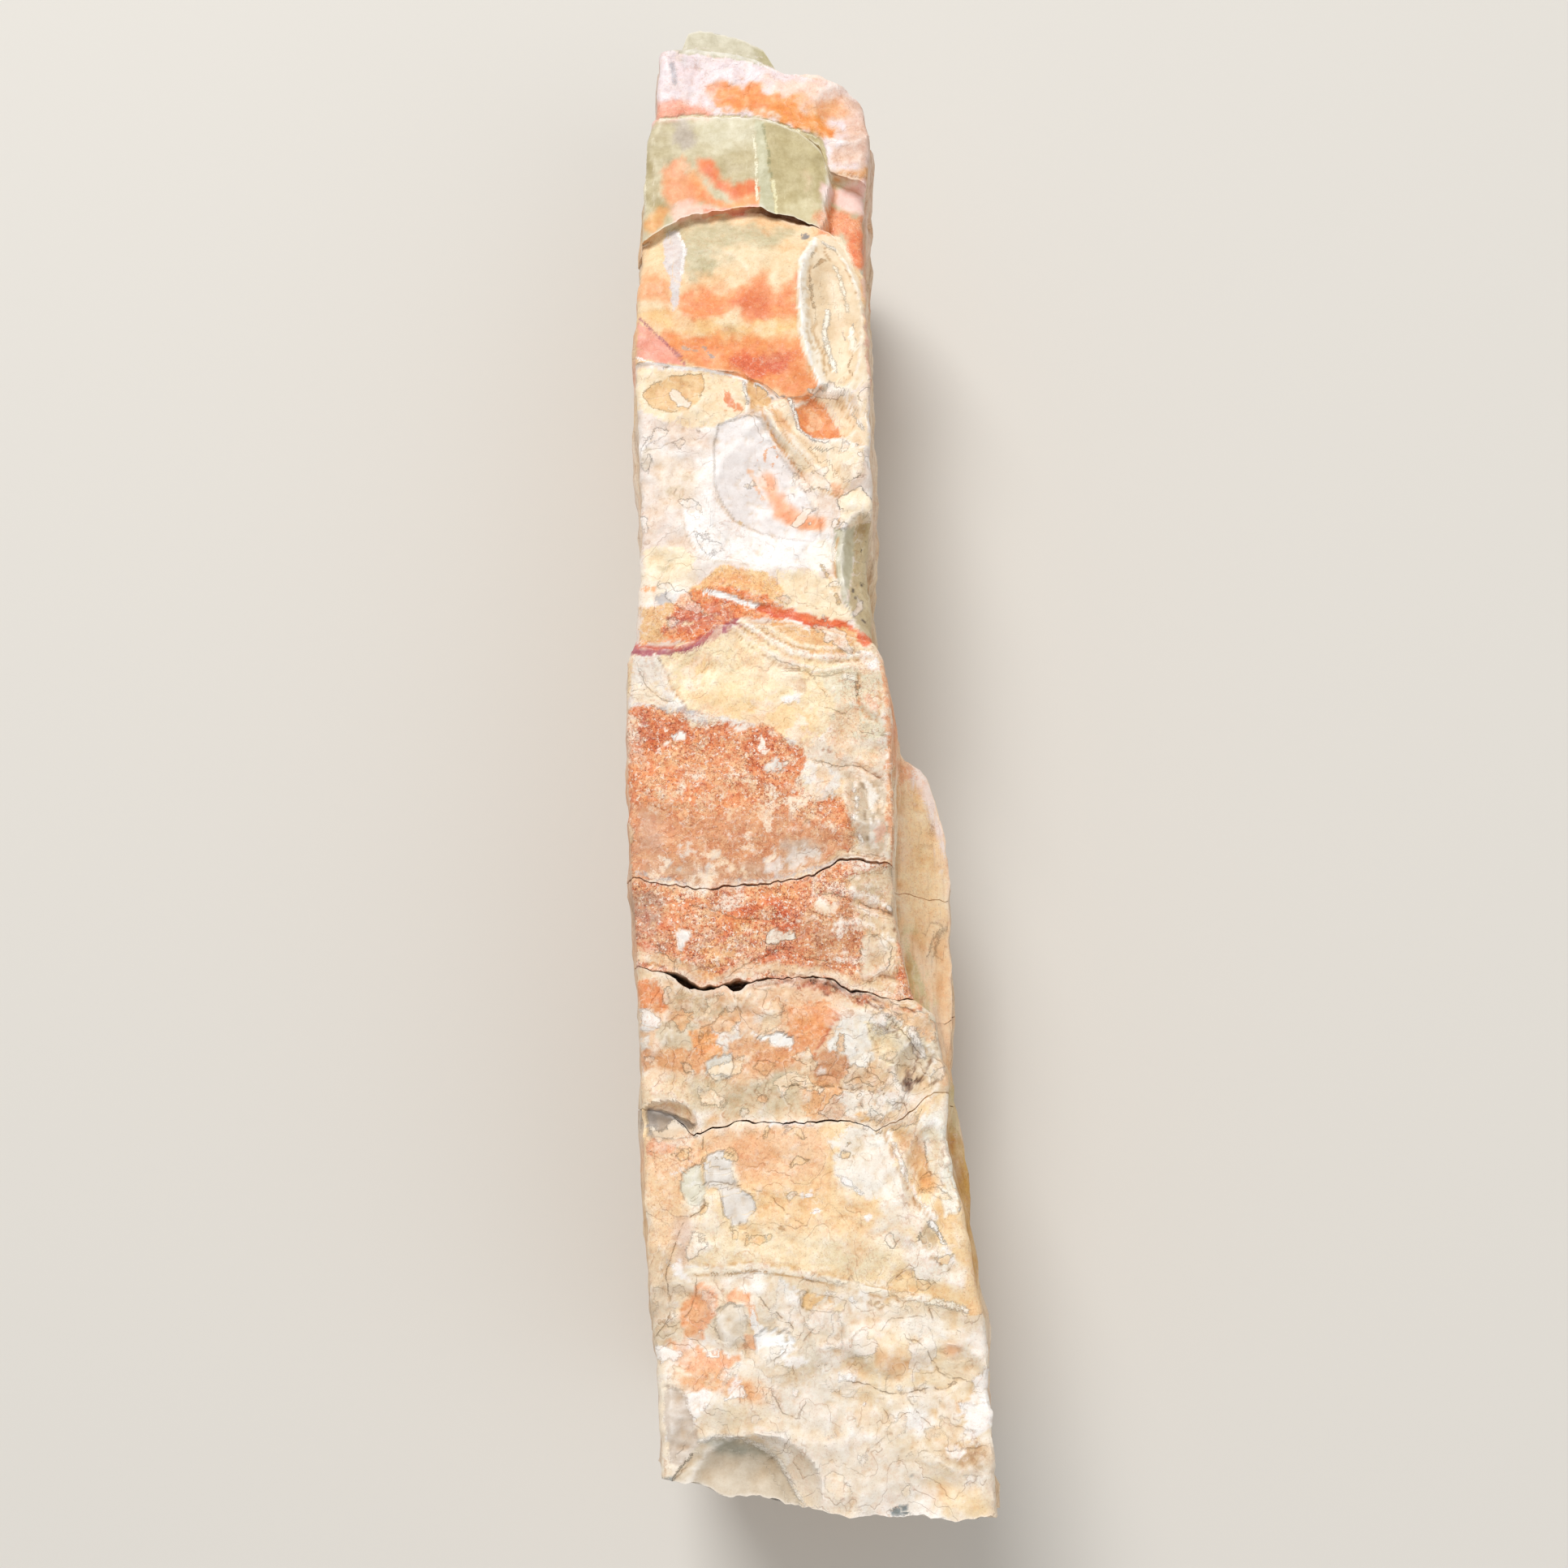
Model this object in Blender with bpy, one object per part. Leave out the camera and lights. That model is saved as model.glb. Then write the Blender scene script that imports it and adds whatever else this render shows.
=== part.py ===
"""Petrified wood: a split length of agatised trunk that lies on its back.

Metres, +Z up. +Y runs along the grain to the narrow end, +X is the side with the
low bench, and the broken face looks up. The origin is under the middle of the
stone, at the height that it rests on. Outlines are in millimetres, at real size.
"""
import math

import bmesh
import bpy
from mathutils import Vector, noise

MM = 0.001

# Driving dimensions, in millimetres
FACE_HEIGHT = 72.0          # from the resting plane up to the broken face
BENCH_DROP = 30.0           # how far the bench lies below the face
BENCH_SLOPE = 5.0           # fall of the bench from its foot to its lip
SIDE_FLARE = 2.4            # how far the right side leans out above the bench
LEFT_BULGE = 1.6            # swelling of the left side between face and back
BACK_TUCK = 4.0             # how far the sides draw in where the stone rests
TUCKED_LAYERS = 1.5         # over how many layers of the blank they do so
BACK_RISE_FROM = 96.0       # the back lifts off its rest beyond this y
BACK_RISE = 0.34            # slope of that lift
FACE_EDGE_RADIUS = 2.6      # worn rounding of the face's long edges
EDGE_RADIUS_CHANGE = 0.5    # share by which that rounding varies
EDGE_WEAR = 0.6             # how much of a true quarter round is worn away
MIDDLE = (-0.7, 0.2)        # middle of the finished stone in the outlines' x and y

# Grid of the blank, in cells
ROW_PITCH = 4.1             # the rows' distance, in millimetres
ROWS_COUNTED_AT = -8.0      # the x where the zones' lengths are measured for it
SETTLING_ROUNDS = 3         # rounds that bring a point's x and y into step
COLUMNS = 15
LAYERS = 12
FOOT_LAYER = 8              # layer where the right side meets the bench
LIP_LAYER = 5               # layer where the bench meets the back's side

# Unevenness, as the height and the size of its lumps in millimetres
FACE_SWELL = (0.9, 26.0)
FACE_BUMPS = (0.5, 8.0)
LEFT_GRAIN = (1.2, 12.0)
RIGHT_GRAIN = (1.0, 12.0)
BACK_CHIPS = (2.0, 11.0)
END_LUMPS = (3.6, 24.0)
LINE_STRAY = (5.0, 30.0)    # of the cracks, along the stone, on their way down
EDGE_LUMP_SIZE = 12.0
CRACK_LUMP_SIZE = 9.0
GRAIN_STRETCH = 6.0         # the grain's lumps are this many times as long as high

# Where each unevenness is read in the noise, so that no two look alike
BUMP_PLACE = 8.0
CRACK_PLACE = 5.0
EDGE_PLACE = 20.0
CHIP_PLACE = 40.0
RIGHT_PLACE = 90.0
LINE_PLACE = 37.0

STONE_COLOUR = (0.82, 0.62, 0.42, 1.0)
STONE_ROUGHNESS = 0.55

# Outlines of the stone seen from above, as (y, x)
LEFT_EDGE = [
    (-163, -26.5), (-145, -28), (-125, -30), (-107, -31.2), (-84, -32.7), (-67, -33.6),
    (-50, -35.2), (-29, -36.6), (-2, -37.4), (3, -35.8), (26, -35.1), (41, -35.7),
    (71, -37.7), (82, -37.6), (97, -37), (114, -37), (131, -36.5), (138, -35), (159, -34.2),
]
RIGHT_EDGE = [
    (-169, 35.3), (-152, 34.9), (-134, 34.4), (-129, 33), (-113, 30.4), (-101, 27.8),
    (-90, 28.7), (-77, 25.8), (-74, 21.8), (-59, 18.6), (-46, 18.3), (-15, 18.9),
    (-2, 17.3), (3, 14.7), (12, 15.4), (22, 14.1), (31, 15.2), (76, 15.3), (97, 14.5),
    (114, 14.9), (131, 16.1), (138, 15.9), (144, 15.2), (159, 11),
]
BENCH_EDGE = [
    (-169, 37.6), (-150, 37.4), (-130, 36.5), (-116, 36.1), (-107, 35.2), (-90, 33.1),
    (-80, 32.4), (-64, 33), (-40, 33.8), (-24, 30.9), (-17, 28.3), (-14, 23.7), (-8, 20.5),
]

# Lines that cross the face, as (x, y), from the wide end to the narrow end
WIDE_END = [
    (-26.5, -162.6), (-18.4, -164.4), (-13.9, -166.2), (-1.2, -167.1), (1.1, -168.5),
    (35.3, -169.5),
]
LOW_LEDGE = [(-30, -126.5), (-25, -125), (-10, -126.5), (7.5, -128), (20, -131), (30.5, -134)]
CRACK_THREE = [
    (-31, -95.3), (-26.5, -96.4), (-21.6, -100.7), (-13.7, -98.4), (1.4, -97.6),
    (14, -98.9), (19, -97.6), (25.4, -92.9),
]
CRACK_TWO = [
    (-33, -67.1), (-28, -68.8), (-23, -70.8), (-18, -71.7), (-14, -71.7), (-10, -70.1),
    (-1.7, -69.3), (6.4, -70.1), (11.3, -72.4), (18.6, -74.5),
]
CRACK_ONE = [
    (-35, -48.7), (-28, -50.4), (-21.6, -51.8), (-8.3, -50.4), (1.7, -48.7), (7.5, -45.3),
    (16.3, -46.2),
]
MIDDLE_STEP = [
    (-37.4, 0.9), (-27.6, 0.9), (-22.4, 2.7), (-19, 6.1), (-12, 6.8), (-1.6, 6.5),
    (8.8, 3.7), (16.6, 1.4),
]
SHOULDER_RIM = [
    (-36.8, 69.6), (-25, 68.2), (-13.3, 66.1), (-8.7, 64.1), (-5, 61), (2.2, 61),
    (8.6, 66.7), (14, 71.3),
]
BLOCK_GAP = [
    (-36, 103), (-28, 109), (-20.4, 110.6), (-10.9, 112.2), (-7, 110.6), (2.5, 108.4),
    (6.3, 107), (9.2, 103.5), (14, 95),
]
BLOCK_TOP = [
    (-36.7, 136.7), (-22.6, 137.6), (-9, 137.3), (-1.3, 134.6), (4.5, 130.7), (7, 124),
    (15, 121),
]
HEAD_END = [
    (-34, 158.6), (-21, 158.8), (-11.5, 156.3), (-5.3, 153.2), (4.5, 151), (10.3, 148.3),
    (15.2, 144.1), (16.5, 140),
]
NARROW_END = [
    (-34, 159.8), (-30, 160.4), (-28, 168.3), (-25, 169.5), (-17, 168), (-9, 164.5),
    (-5.3, 156.5), (-3, 153.6), (4.5, 152), (10.3, 149.3), (15.2, 145.1), (16.5, 141),
]

# Each line with the half width of the step or crack that follows it
LINES = [
    (WIDE_END, 0.0), (LOW_LEDGE, 0.5), (CRACK_THREE, 0.8), (CRACK_TWO, 1.3), (CRACK_ONE, 0.8),
    (MIDDLE_STEP, 0.5), (SHOULDER_RIM, 0.5), (BLOCK_GAP, 0.7), (BLOCK_TOP, 0.5),
    (HEAD_END, 0.3), (NARROW_END, 0.0),
]
# Height of the face against its plane in each zone, at its wide and narrow side
ZONE_LEVELS = [
    (0.0, 0.2), (0.55, 0.4), (0.2, 0.5), (0.0, 0.2), (0.4, 0.8), (-0.3, 0.1), (0.6, 0.6),
    (-1.6, -2.0), (-5.6, -5.0), (-10.0, -11.0),
]
SHOULDER_ZONE = 6
BLOCK_ZONE = 7

# Cracks: which line they follow and how deep they open below the face
CRACK_DEPTHS = {2: 4.5, 3: 8.0, 4: 4.5, 7: 9.0}
CRACK_DEPTH_CHANGE = 0.25   # share by which that depth varies
SIDE_CUT = 1.8              # how deep they cut the long sides, fading downwards
SIDE_CUT_FADE = 1.6         # how soon they reach that depth on their way up

SHOULDER_FALL = 4.4         # drop of the shoulder block towards the gap
SHOULDER_ROUND = 17.0       # length over which it falls
SHOULDER_CURVE = 1.4        # how late in that length it falls
BLOCK_SIDE = 6.0            # the raised block ends at this x
BLOCK_SIDE_RUN = 2.0        # width over which its side falls
BELOW_BLOCK = -8.6          # level of the low ground beside the block
FACET_FROM = -9.0           # the block slopes to its side from this x
FACET_SLOPE = 0.16

# Broken ends: length over which they are shaped, where that starts, and how far the
# end draws in or out in proportion to the depth and to its square
END_REACH = 30.0
WIDE_END_FROM, WIDE_END_LEAN = -166.0, 7.0
NARROW_END_FROM, NARROW_END_LEAN, NARROW_END_HOLLOW = 160.0, -5.0, 9.0
END_FADE = 4.0              # how soon the ends' lumps reach their height below the face
BACK_CHIP_REACH = 6.0       # how far in from its rim the back is chipped
BACK_CHIP_DEPTH = 2.0
SCAR_RIM = 0.7              # under 1 a flake scar is sharp at its rim

# Scars where flakes came off: centre x, y, half width, half length, turn, depth, tilt
SCARS = [
    (6.6, 82.5, 6.8, 20, 4, 3.2, 0.4),
    (-7, 38, 12, 19, -18, 2.2, 0.3),
    (6, 57, 7, 7, 0, 2.6, 0.3),
    (14.5, 17, 5.5, 15, 8, 7.5, 0.6),
    (-9, -165, 12, 10, 0, 5.0, 0.0),
    (22.5, -88, 4.5, 5, 0, 3.4, 0.0),
    (23, -107, 3.5, 9, -15, 2.6, 0.2),
    (-27, -98, 6, 4, 0, 2.8, 0.0),
    (12, -25, 8, 13, 10, 1.8, 0.5),
    (13, -60, 7, 9, -12, 1.8, 0.5),
    (28, -150, 8, 11, 10, 2.2, 0.3),
    (-24, -140, 9, 12, 15, 1.8, 0.2),
    (4, -148, 10, 8, 20, 1.6, 0.2),
    (10.5, 140, 7, 8, 20, 2.4, 0.4),
    (-22, 90, 10, 9, 0, 1.2, 0.0),
]
# The same on the long sides, by y and height, and on the back, by x and y
LEFT_SCARS = [
    (-122, 26, 27, 15, 6, 5.0, 0.2), (22, 42, 36, 11, -4, 3.0, 0.2),
    (92, 26, 28, 16, 8, 6.0, 0.2), (-50, 53, 24, 8, 3, 2.4, 0.0),
    (138, 47, 16, 13, 0, 4.5, 0.3), (-148, 58, 15, 10, 0, 2.6, 0.0),
    (-22, 17, 30, 12, -5, 3.6, 0.0),
]
RIGHT_SCARS = [
    (-104, 20, 32, 12, 5, 4.0, 0.2), (-22, 22, 26, 12, -6, 4.0, 0.2),
    (62, 24, 36, 15, 4, 6.0, 0.2), (124, 36, 20, 13, 0, 4.0, 0.3),
    (40, 57, 24, 7, 2, 1.4, 0.0), (96, 52, 24, 7, 0, 1.8, 0.0),
    (-150, 16, 16, 12, 0, 4.0, 0.0),
]
BACK_SCARS = [
    (-14, -122, 14, 31, 10, 3.0, 0.0), (13, -46, 13, 35, -6, 3.4, 0.0),
    (-12, 42, 15, 29, 12, 3.0, 0.0), (13, 80, 9, 18, 0, 2.4, 0.0),
]
# Ridges and lumps that stand proud: x, y, half width, half length, turn, height
LUMPS = [
    (0.6, 82, 1.3, 19, 3, 0.7),
    (-4, 52, 1.8, 15, 42, 1.3),
    (12, 43, 4, 6, 10, 1.6),
    (15, 33, 2.5, 4, 0, 2.0),
    (17, -78, 7, 8, 0, 1.2),
    (20, -115, 6, 7, 20, 1.4),
    (-14, -135, 9, 5, 10, 1.2),
    (14, -140, 8, 5, -12, 1.4),
    (24, -160, 7, 4, 0, 1.0),
    (12, -35, 4, 8, 15, 1.2),
]


def between(points, at):
    """Reads a polyline of (position, value) pairs, level beyond its ends."""
    if at <= points[0][0]:
        return points[0][1]
    for (low, first), (high, second) in zip(points, points[1:]):
        if at <= high:
            return first + (second - first) * (at - low) / (high - low)
    return points[-1][1]


def ease(value):
    """Smooth step from 0 to 1."""
    value = min(max(value, 0.0), 1.0)
    return value * value * (3.0 - 2.0 * value)


def rough(x, y, z, size, octaves=3):
    """Natural unevenness from about -1 to 1, with lumps of the given size."""
    return noise.fractal(Vector((x, y, z)) / size, 1.0, 2.0, octaves)


def uneven(look, x, y, z, octaves=3):
    """Unevenness in millimetres, from its height and lump size."""
    height, size = look
    return height * rough(x, y, z, size, octaves)


def row_plan():
    """The rows of the blank: the zone each lies in and its share of the way across."""
    plan = []
    for zone in range(len(LINES) - 1):
        low, high = LINES[zone], LINES[zone + 1]
        span = between(high[0], ROWS_COUNTED_AT) - between(low[0], ROWS_COUNTED_AT)
        steps = max(2, round(span / ROW_PITCH))
        plan += [(zone, step / steps) for step in range(steps + 1)]
        if zone + 1 in CRACK_DEPTHS:
            plan.append((zone + 1, -1.0))
    return plan


ROWS = row_plan()


def line_y(index, x, depth):
    """The y of a line where it passes x. Below the face it strays with depth, but for the ends."""
    y = between(LINES[index][0], x)
    if 0 < index < len(LINES) - 2:
        y += depth * uneven(LINE_STRAY, index * LINE_PLACE, 0.0, depth * FACE_HEIGHT)
    return y


def row_y(row, x, layer):
    """The y of a row where it passes x. Rows follow the steps and cracks."""
    zone, share = ROWS[row]
    depth = 1.0 - layer / LAYERS
    if share < 0.0:
        return line_y(zone, x, depth)
    start = line_y(zone, x, depth) + LINES[zone][1]
    end = line_y(zone + 1, x, depth) - LINES[zone + 1][1]
    return start + (end - start) * share


def bowl(x, y, scar):
    """Depth of a flake scar, sharp at its rim and deeper on its tilted side."""
    centre_x, centre_y, half_width, half_length, turn, depth, tilt = scar
    angle = math.radians(turn)
    across = (x - centre_x) * math.cos(angle) + (y - centre_y) * math.sin(angle)
    along = (y - centre_y) * math.cos(angle) - (x - centre_x) * math.sin(angle)
    reach = (across / half_width) ** 2 + (along / half_length) ** 2
    if reach >= 1.0:
        return 0.0
    return depth * (1.0 - reach) ** SCAR_RIM * (1.0 + tilt * across / half_width)


def lump(x, y, form):
    """Height of a ridge or lump."""
    centre_x, centre_y, half_width, half_length, turn, height = form
    angle = math.radians(turn)
    across = (x - centre_x) * math.cos(angle) + (y - centre_y) * math.sin(angle)
    along = (y - centre_y) * math.cos(angle) - (x - centre_x) * math.sin(angle)
    reach = (across / half_width) ** 2 + (along / half_length) ** 2
    return height * max(0.0, 1.0 - reach)


def face_level(x, y, zone, share):
    """Height of the broken face against its plane."""
    if share < 0.0:
        change = CRACK_DEPTH_CHANGE * (rough(x, y, CRACK_PLACE, CRACK_LUMP_SIZE) - 1.0)
        return min(ZONE_LEVELS[zone]) - CRACK_DEPTHS[zone] * (1.0 + change)
    low, high = ZONE_LEVELS[zone]
    level = low + (high - low) * share
    if zone == SHOULDER_ZONE:
        to_gap = between(BLOCK_GAP, x) - y
        level -= SHOULDER_FALL * ease(1.0 - to_gap / SHOULDER_ROUND) ** SHOULDER_CURVE
    if zone == BLOCK_ZONE:
        level -= FACET_SLOPE * max(0.0, x - FACET_FROM)
        beside = ease((x - BLOCK_SIDE) / BLOCK_SIDE_RUN)
        level += (BELOW_BLOCK - level) * beside
    level += uneven(FACE_SWELL, x, y, 0.0) + uneven(FACE_BUMPS, x, y, BUMP_PLACE, 2)
    level += sum(lump(x, y, form) for form in LUMPS)
    return level - sum(bowl(x, y, scar) for scar in SCARS)


def side_profile(layer):
    """Right side: share of the way from face edge to bench lip, and relative height."""
    foot_height = 1.0 - (BENCH_DROP - BENCH_SLOPE / 2) / FACE_HEIGHT
    lip_height = 1.0 - (BENCH_DROP + BENCH_SLOPE / 2) / FACE_HEIGHT
    if layer >= FOOT_LAYER:
        share = (layer - FOOT_LAYER) / (LAYERS - FOOT_LAYER)
        return 0.0, foot_height + (1.0 - foot_height) * share, 1.0 - share
    if layer >= LIP_LAYER:
        share = (FOOT_LAYER - layer) / (FOOT_LAYER - LIP_LAYER)
        return share, foot_height + (lip_height - foot_height) * share, 1.0
    return 1.0, lip_height * layer / LIP_LAYER, 1.0


def side_cut(row, layer):
    """How deep a crack cuts the long sides on its own row."""
    share = ROWS[row][1]
    return SIDE_CUT * ease(SIDE_CUT_FADE * layer / LAYERS) if share < 0.0 else 0.0


def tuck_in(layer):
    """How far a side draws in close to the back."""
    return BACK_TUCK * max(0.0, 1.0 - layer / TUCKED_LAYERS)


def left_x(y, layer):
    """The left side: nearly upright along the grain, drawn in at the back."""
    depth = 1.0 - layer / LAYERS
    belly = math.sin(math.pi * depth)
    grain = uneven(LEFT_GRAIN, 0.0, y / GRAIN_STRETCH, depth * FACE_HEIGHT)
    height = FACE_HEIGHT * layer / LAYERS
    flaked = sum(bowl(y, height, scar) for scar in LEFT_SCARS)
    return between(LEFT_EDGE, y) + (grain - LEFT_BULGE) * belly + tuck_in(layer) + flaked


def right_x(y, layer):
    """The right side: flared above, stepping out over the bench, drawn in at the back."""
    edge = between(RIGHT_EDGE, y)
    out, _, flare = side_profile(layer)
    bench = max(between(BENCH_EDGE, y), edge + SIDE_FLARE)
    if y > BENCH_EDGE[-1][0]:
        bench = edge + SIDE_FLARE
    foot = edge + SIDE_FLARE * flare
    height = FACE_HEIGHT * side_profile(layer)[1]
    grain = uneven(RIGHT_GRAIN, RIGHT_PLACE, y / GRAIN_STRETCH, height)
    flaked = sum(bowl(y, height, scar) for scar in RIGHT_SCARS)
    broken = (grain - flaked) * (layer < LAYERS)
    return foot + (bench - foot) * out - tuck_in(layer) + broken


def back_height(x, y, edge_distance):
    """The cleft back: flat where it rests, lifting at the narrow end and chipped at its rim."""
    rise = BACK_RISE * max(0.0, y - BACK_RISE_FROM)
    near_rim = max(0.0, 1.0 - edge_distance / BACK_CHIP_REACH)
    chip = near_rim * (BACK_CHIP_DEPTH + uneven(BACK_CHIPS, x, y, CHIP_PLACE))
    return rise + max(0.0, chip) + sum(bowl(x, y, scar) for scar in BACK_SCARS)


def end_set_back(layer, x, y):
    """How far the broken ends draw in below the face, fading along the stone."""
    depth = 1.0 - layer / LAYERS
    lumps = ease(END_FADE * depth) * uneven(END_LUMPS, x, 0.0, depth * FACE_HEIGHT)
    wide = WIDE_END_LEAN * depth + lumps
    narrow = NARROW_END_LEAN * depth + NARROW_END_HOLLOW * depth ** 2 + lumps
    at_wide = ease(1.0 - (y - WIDE_END_FROM) / END_REACH)
    at_narrow = ease(1.0 - (NARROW_END_FROM - y) / END_REACH)
    return at_wide * wide - at_narrow * narrow


def edge_rounding(distance, radius):
    """Drop of a worn, rounded edge at a distance in from its corner."""
    inward = min(max(radius - distance, 0.0), radius)
    return radius - math.sqrt(radius ** 2 - inward ** 2)


def place(row, column, layer):
    """The point of the stone's skin that a vertex of the blank becomes."""
    across = column / COLUMNS
    y = row_y(row, ROWS_COUNTED_AT, layer)
    for _ in range(SETTLING_ROUNDS):
        left, right = left_x(y, layer), right_x(y, layer)
        x = left + (right - left) * across
        y = row_y(row, x, layer)
    y += end_set_back(layer, x, y)
    if column == 0:
        x += side_cut(row, layer)
    if column == COLUMNS:
        x -= side_cut(row, layer)
    edge_distance = min(x - left, right - x)
    top = FACE_HEIGHT + face_level(x, y, *ROWS[row])
    change = EDGE_RADIUS_CHANGE * rough(x, y, EDGE_PLACE, EDGE_LUMP_SIZE)
    top -= EDGE_WEAR * edge_rounding(edge_distance, FACE_EDGE_RADIUS * (1.0 + change))
    bottom = back_height(x, y, edge_distance)
    straight = layer / LAYERS
    height = straight + (side_profile(layer)[1] - straight) * across
    return Vector((x, y, bottom + (top - bottom) * height)) * MM


def stone_material():
    """Agatised wood: silica stone, waxy to chalky where it broke."""
    material = bpy.data.materials.new("agatised wood")
    material.use_nodes = True
    shader = material.node_tree.nodes["Principled BSDF"]
    shader.inputs["Base Color"].default_value = STONE_COLOUR
    shader.inputs["Roughness"].default_value = STONE_ROUGHNESS
    shader.inputs["Metallic"].default_value = 0.0
    material.diffuse_color = STONE_COLOUR
    return material


def blank(mesh_tool):
    """A cube cut into rows, columns and layers. Returns each vertex with its place in them."""
    bmesh.ops.create_cube(mesh_tool, size=1.0)
    for axis, cells in ((1, len(ROWS) - 1), (0, COLUMNS), (2, LAYERS)):
        along = [edge for edge in mesh_tool.edges
                 if abs(edge.verts[0].co[axis] - edge.verts[1].co[axis]) > 0.5]
        bmesh.ops.subdivide_edges(mesh_tool, edges=along, cuts=cells - 1, use_grid_fill=True)
    counts = Vector((COLUMNS, len(ROWS) - 1, LAYERS))
    return [(vert, [round((vert.co[axis] + 0.5) * counts[axis]) for axis in range(3)])
            for vert in mesh_tool.verts]


def petrified_wood(collection):
    """The whole stone, one closed solid."""
    mesh_tool = bmesh.new()
    for vert, (column, row, layer) in blank(mesh_tool):
        vert.co = place(row, column, layer)
    to_origin = Vector((-MIDDLE[0], -MIDDLE[1], 0.0)) * MM
    bmesh.ops.translate(mesh_tool, verts=mesh_tool.verts, vec=to_origin)
    bmesh.ops.triangulate(mesh_tool, faces=mesh_tool.faces, quad_method="SHORT_EDGE")
    bmesh.ops.recalc_face_normals(mesh_tool, faces=mesh_tool.faces)
    mesh = bpy.data.meshes.new("petrified_wood")
    mesh_tool.to_mesh(mesh)
    mesh_tool.free()
    mesh.materials.append(stone_material())
    stone = bpy.data.objects.new("petrified_wood", mesh)
    collection.objects.link(stone)
    return stone


def main():
    for item in list(bpy.data.objects):
        bpy.data.objects.remove(item, do_unlink=True)
    collection = bpy.data.collections.new("petrified wood")
    bpy.context.scene.collection.children.link(collection)
    petrified_wood(collection)


main()
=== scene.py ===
"""Looks of the petrified wood: one split length of agatised trunk, lying on its back.

Metres in the scene, millimetres in the outlines. +Y runs along the grain to the narrow
end, +X is the side with the low bench, and the broken face looks up at the camera.
Marks on the face are outlines placed in the photograph's 1932-pixel frame, and
each is carried onto the stone along the camera's own lines of sight.
"""
import math
from collections import namedtuple

import bmesh
import bpy
import numpy as np
from bpy.props import FloatProperty, FloatVectorProperty, PointerProperty
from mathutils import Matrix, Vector, noise


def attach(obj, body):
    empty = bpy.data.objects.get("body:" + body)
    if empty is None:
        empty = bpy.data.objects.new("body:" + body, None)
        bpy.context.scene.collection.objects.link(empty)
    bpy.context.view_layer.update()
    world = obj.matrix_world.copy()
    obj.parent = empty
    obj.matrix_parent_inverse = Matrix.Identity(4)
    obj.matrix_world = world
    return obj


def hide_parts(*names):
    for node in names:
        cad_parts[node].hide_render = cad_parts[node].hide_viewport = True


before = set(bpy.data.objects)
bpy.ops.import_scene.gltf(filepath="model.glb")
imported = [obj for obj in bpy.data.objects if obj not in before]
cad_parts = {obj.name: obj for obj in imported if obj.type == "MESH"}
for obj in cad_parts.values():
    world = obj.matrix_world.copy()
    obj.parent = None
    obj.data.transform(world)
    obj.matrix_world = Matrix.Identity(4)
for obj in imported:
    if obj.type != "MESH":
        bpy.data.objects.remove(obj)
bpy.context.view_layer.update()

bl_info = {
    "name": "Petrified wood",
    "version": (1, 0, 0),
    "blender": (4, 5, 0),
    "location": "View3D > Sidebar > Petrified wood",
    "description": "Builds a split length of agatised wood with its broken face up",
    "category": "Object",
}

MM = 0.001

# Driving dimensions, in millimetres, shared with the solid that this stone replaces
FACE_HEIGHT = 72.0          # from the resting plane up to the broken face
BENCH_DROP = 30.0           # how far the bench lies below the face
BENCH_SLOPE = 5.0           # fall of the bench from its foot to its lip
BENCH_FADE = 4.0            # width up to which it is only partly stepped
SIDE_FLARE = 2.4            # how far the right side leans out above the bench
LEFT_BULGE = 1.6            # swelling of the left side between face and back
BACK_TUCK = 4.0             # how far the sides draw in where the stone rests
BACK_RISE_FROM = 96.0       # the back lifts off its rest beyond this y
BACK_RISE = 0.34            # slope of that lift
FACE_EDGE_RADIUS = 2.6      # worn rounding of the face's long edges
MIDDLE = (-0.7, 0.2)        # middle of the finished stone in the outlines' x and y

# Outlines of the stone seen from above, as (y, x)
LEFT_EDGE = [
    (-163, -26.5), (-145, -28), (-125, -30), (-107, -31.2), (-84, -32.7), (-67, -33.6),
    (-50, -35.2), (-29, -36.6), (-2, -37.4), (3, -35.8), (26, -35.1), (41, -35.7),
    (71, -37.7), (82, -37.6), (97, -37), (114, -37), (131, -36.5), (138, -35), (159, -34.2),
]
RIGHT_EDGE = [
    (-169, 35.3), (-152, 34.9), (-134, 34.4), (-129, 33), (-113, 30.4), (-101, 27.8),
    (-90, 28.7), (-77, 25.8), (-74, 21.8), (-59, 18.6), (-46, 18.3), (-15, 18.9),
    (-2, 17.3), (3, 14.7), (12, 15.4), (22, 14.1), (31, 15.2), (76, 15.3), (97, 14.5),
    (114, 14.9), (131, 16.1), (138, 15.9), (144, 15.2), (159, 11),
]
BENCH_EDGE = [
    (-169, 37.6), (-150, 37.4), (-130, 36.5), (-116, 36.1), (-107, 35.2), (-90, 33.1),
    (-80, 32.4), (-64, 33), (-40, 33.8), (-24, 30.9), (-17, 28.3), (-14, 23.7), (-8, 20.5),
]

# Lines that cross the face, as (x, y), from the wide end to the narrow end
WIDE_END = [
    (-26.5, -162.6), (-18.4, -164.4), (-13.9, -166.2), (-1.2, -167.1), (1.1, -168.5),
    (35.3, -169.5),
]
LOW_LEDGE = [(-30, -126.5), (-25, -125), (-10, -126.5), (7.5, -128), (20, -131), (30.5, -134)]
CRACK_THREE = [
    (-31, -95.3), (-26.5, -96.4), (-21.6, -100.7), (-13.7, -98.4), (1.4, -97.6),
    (14, -98.9), (19, -97.6), (25.4, -92.9),
]
CRACK_TWO = [
    (-33, -67.1), (-28, -68.8), (-23, -70.8), (-18, -71.7), (-14, -71.7), (-10, -70.1),
    (-1.7, -69.3), (6.4, -70.1), (11.3, -72.4), (18.6, -74.5),
]
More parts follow.
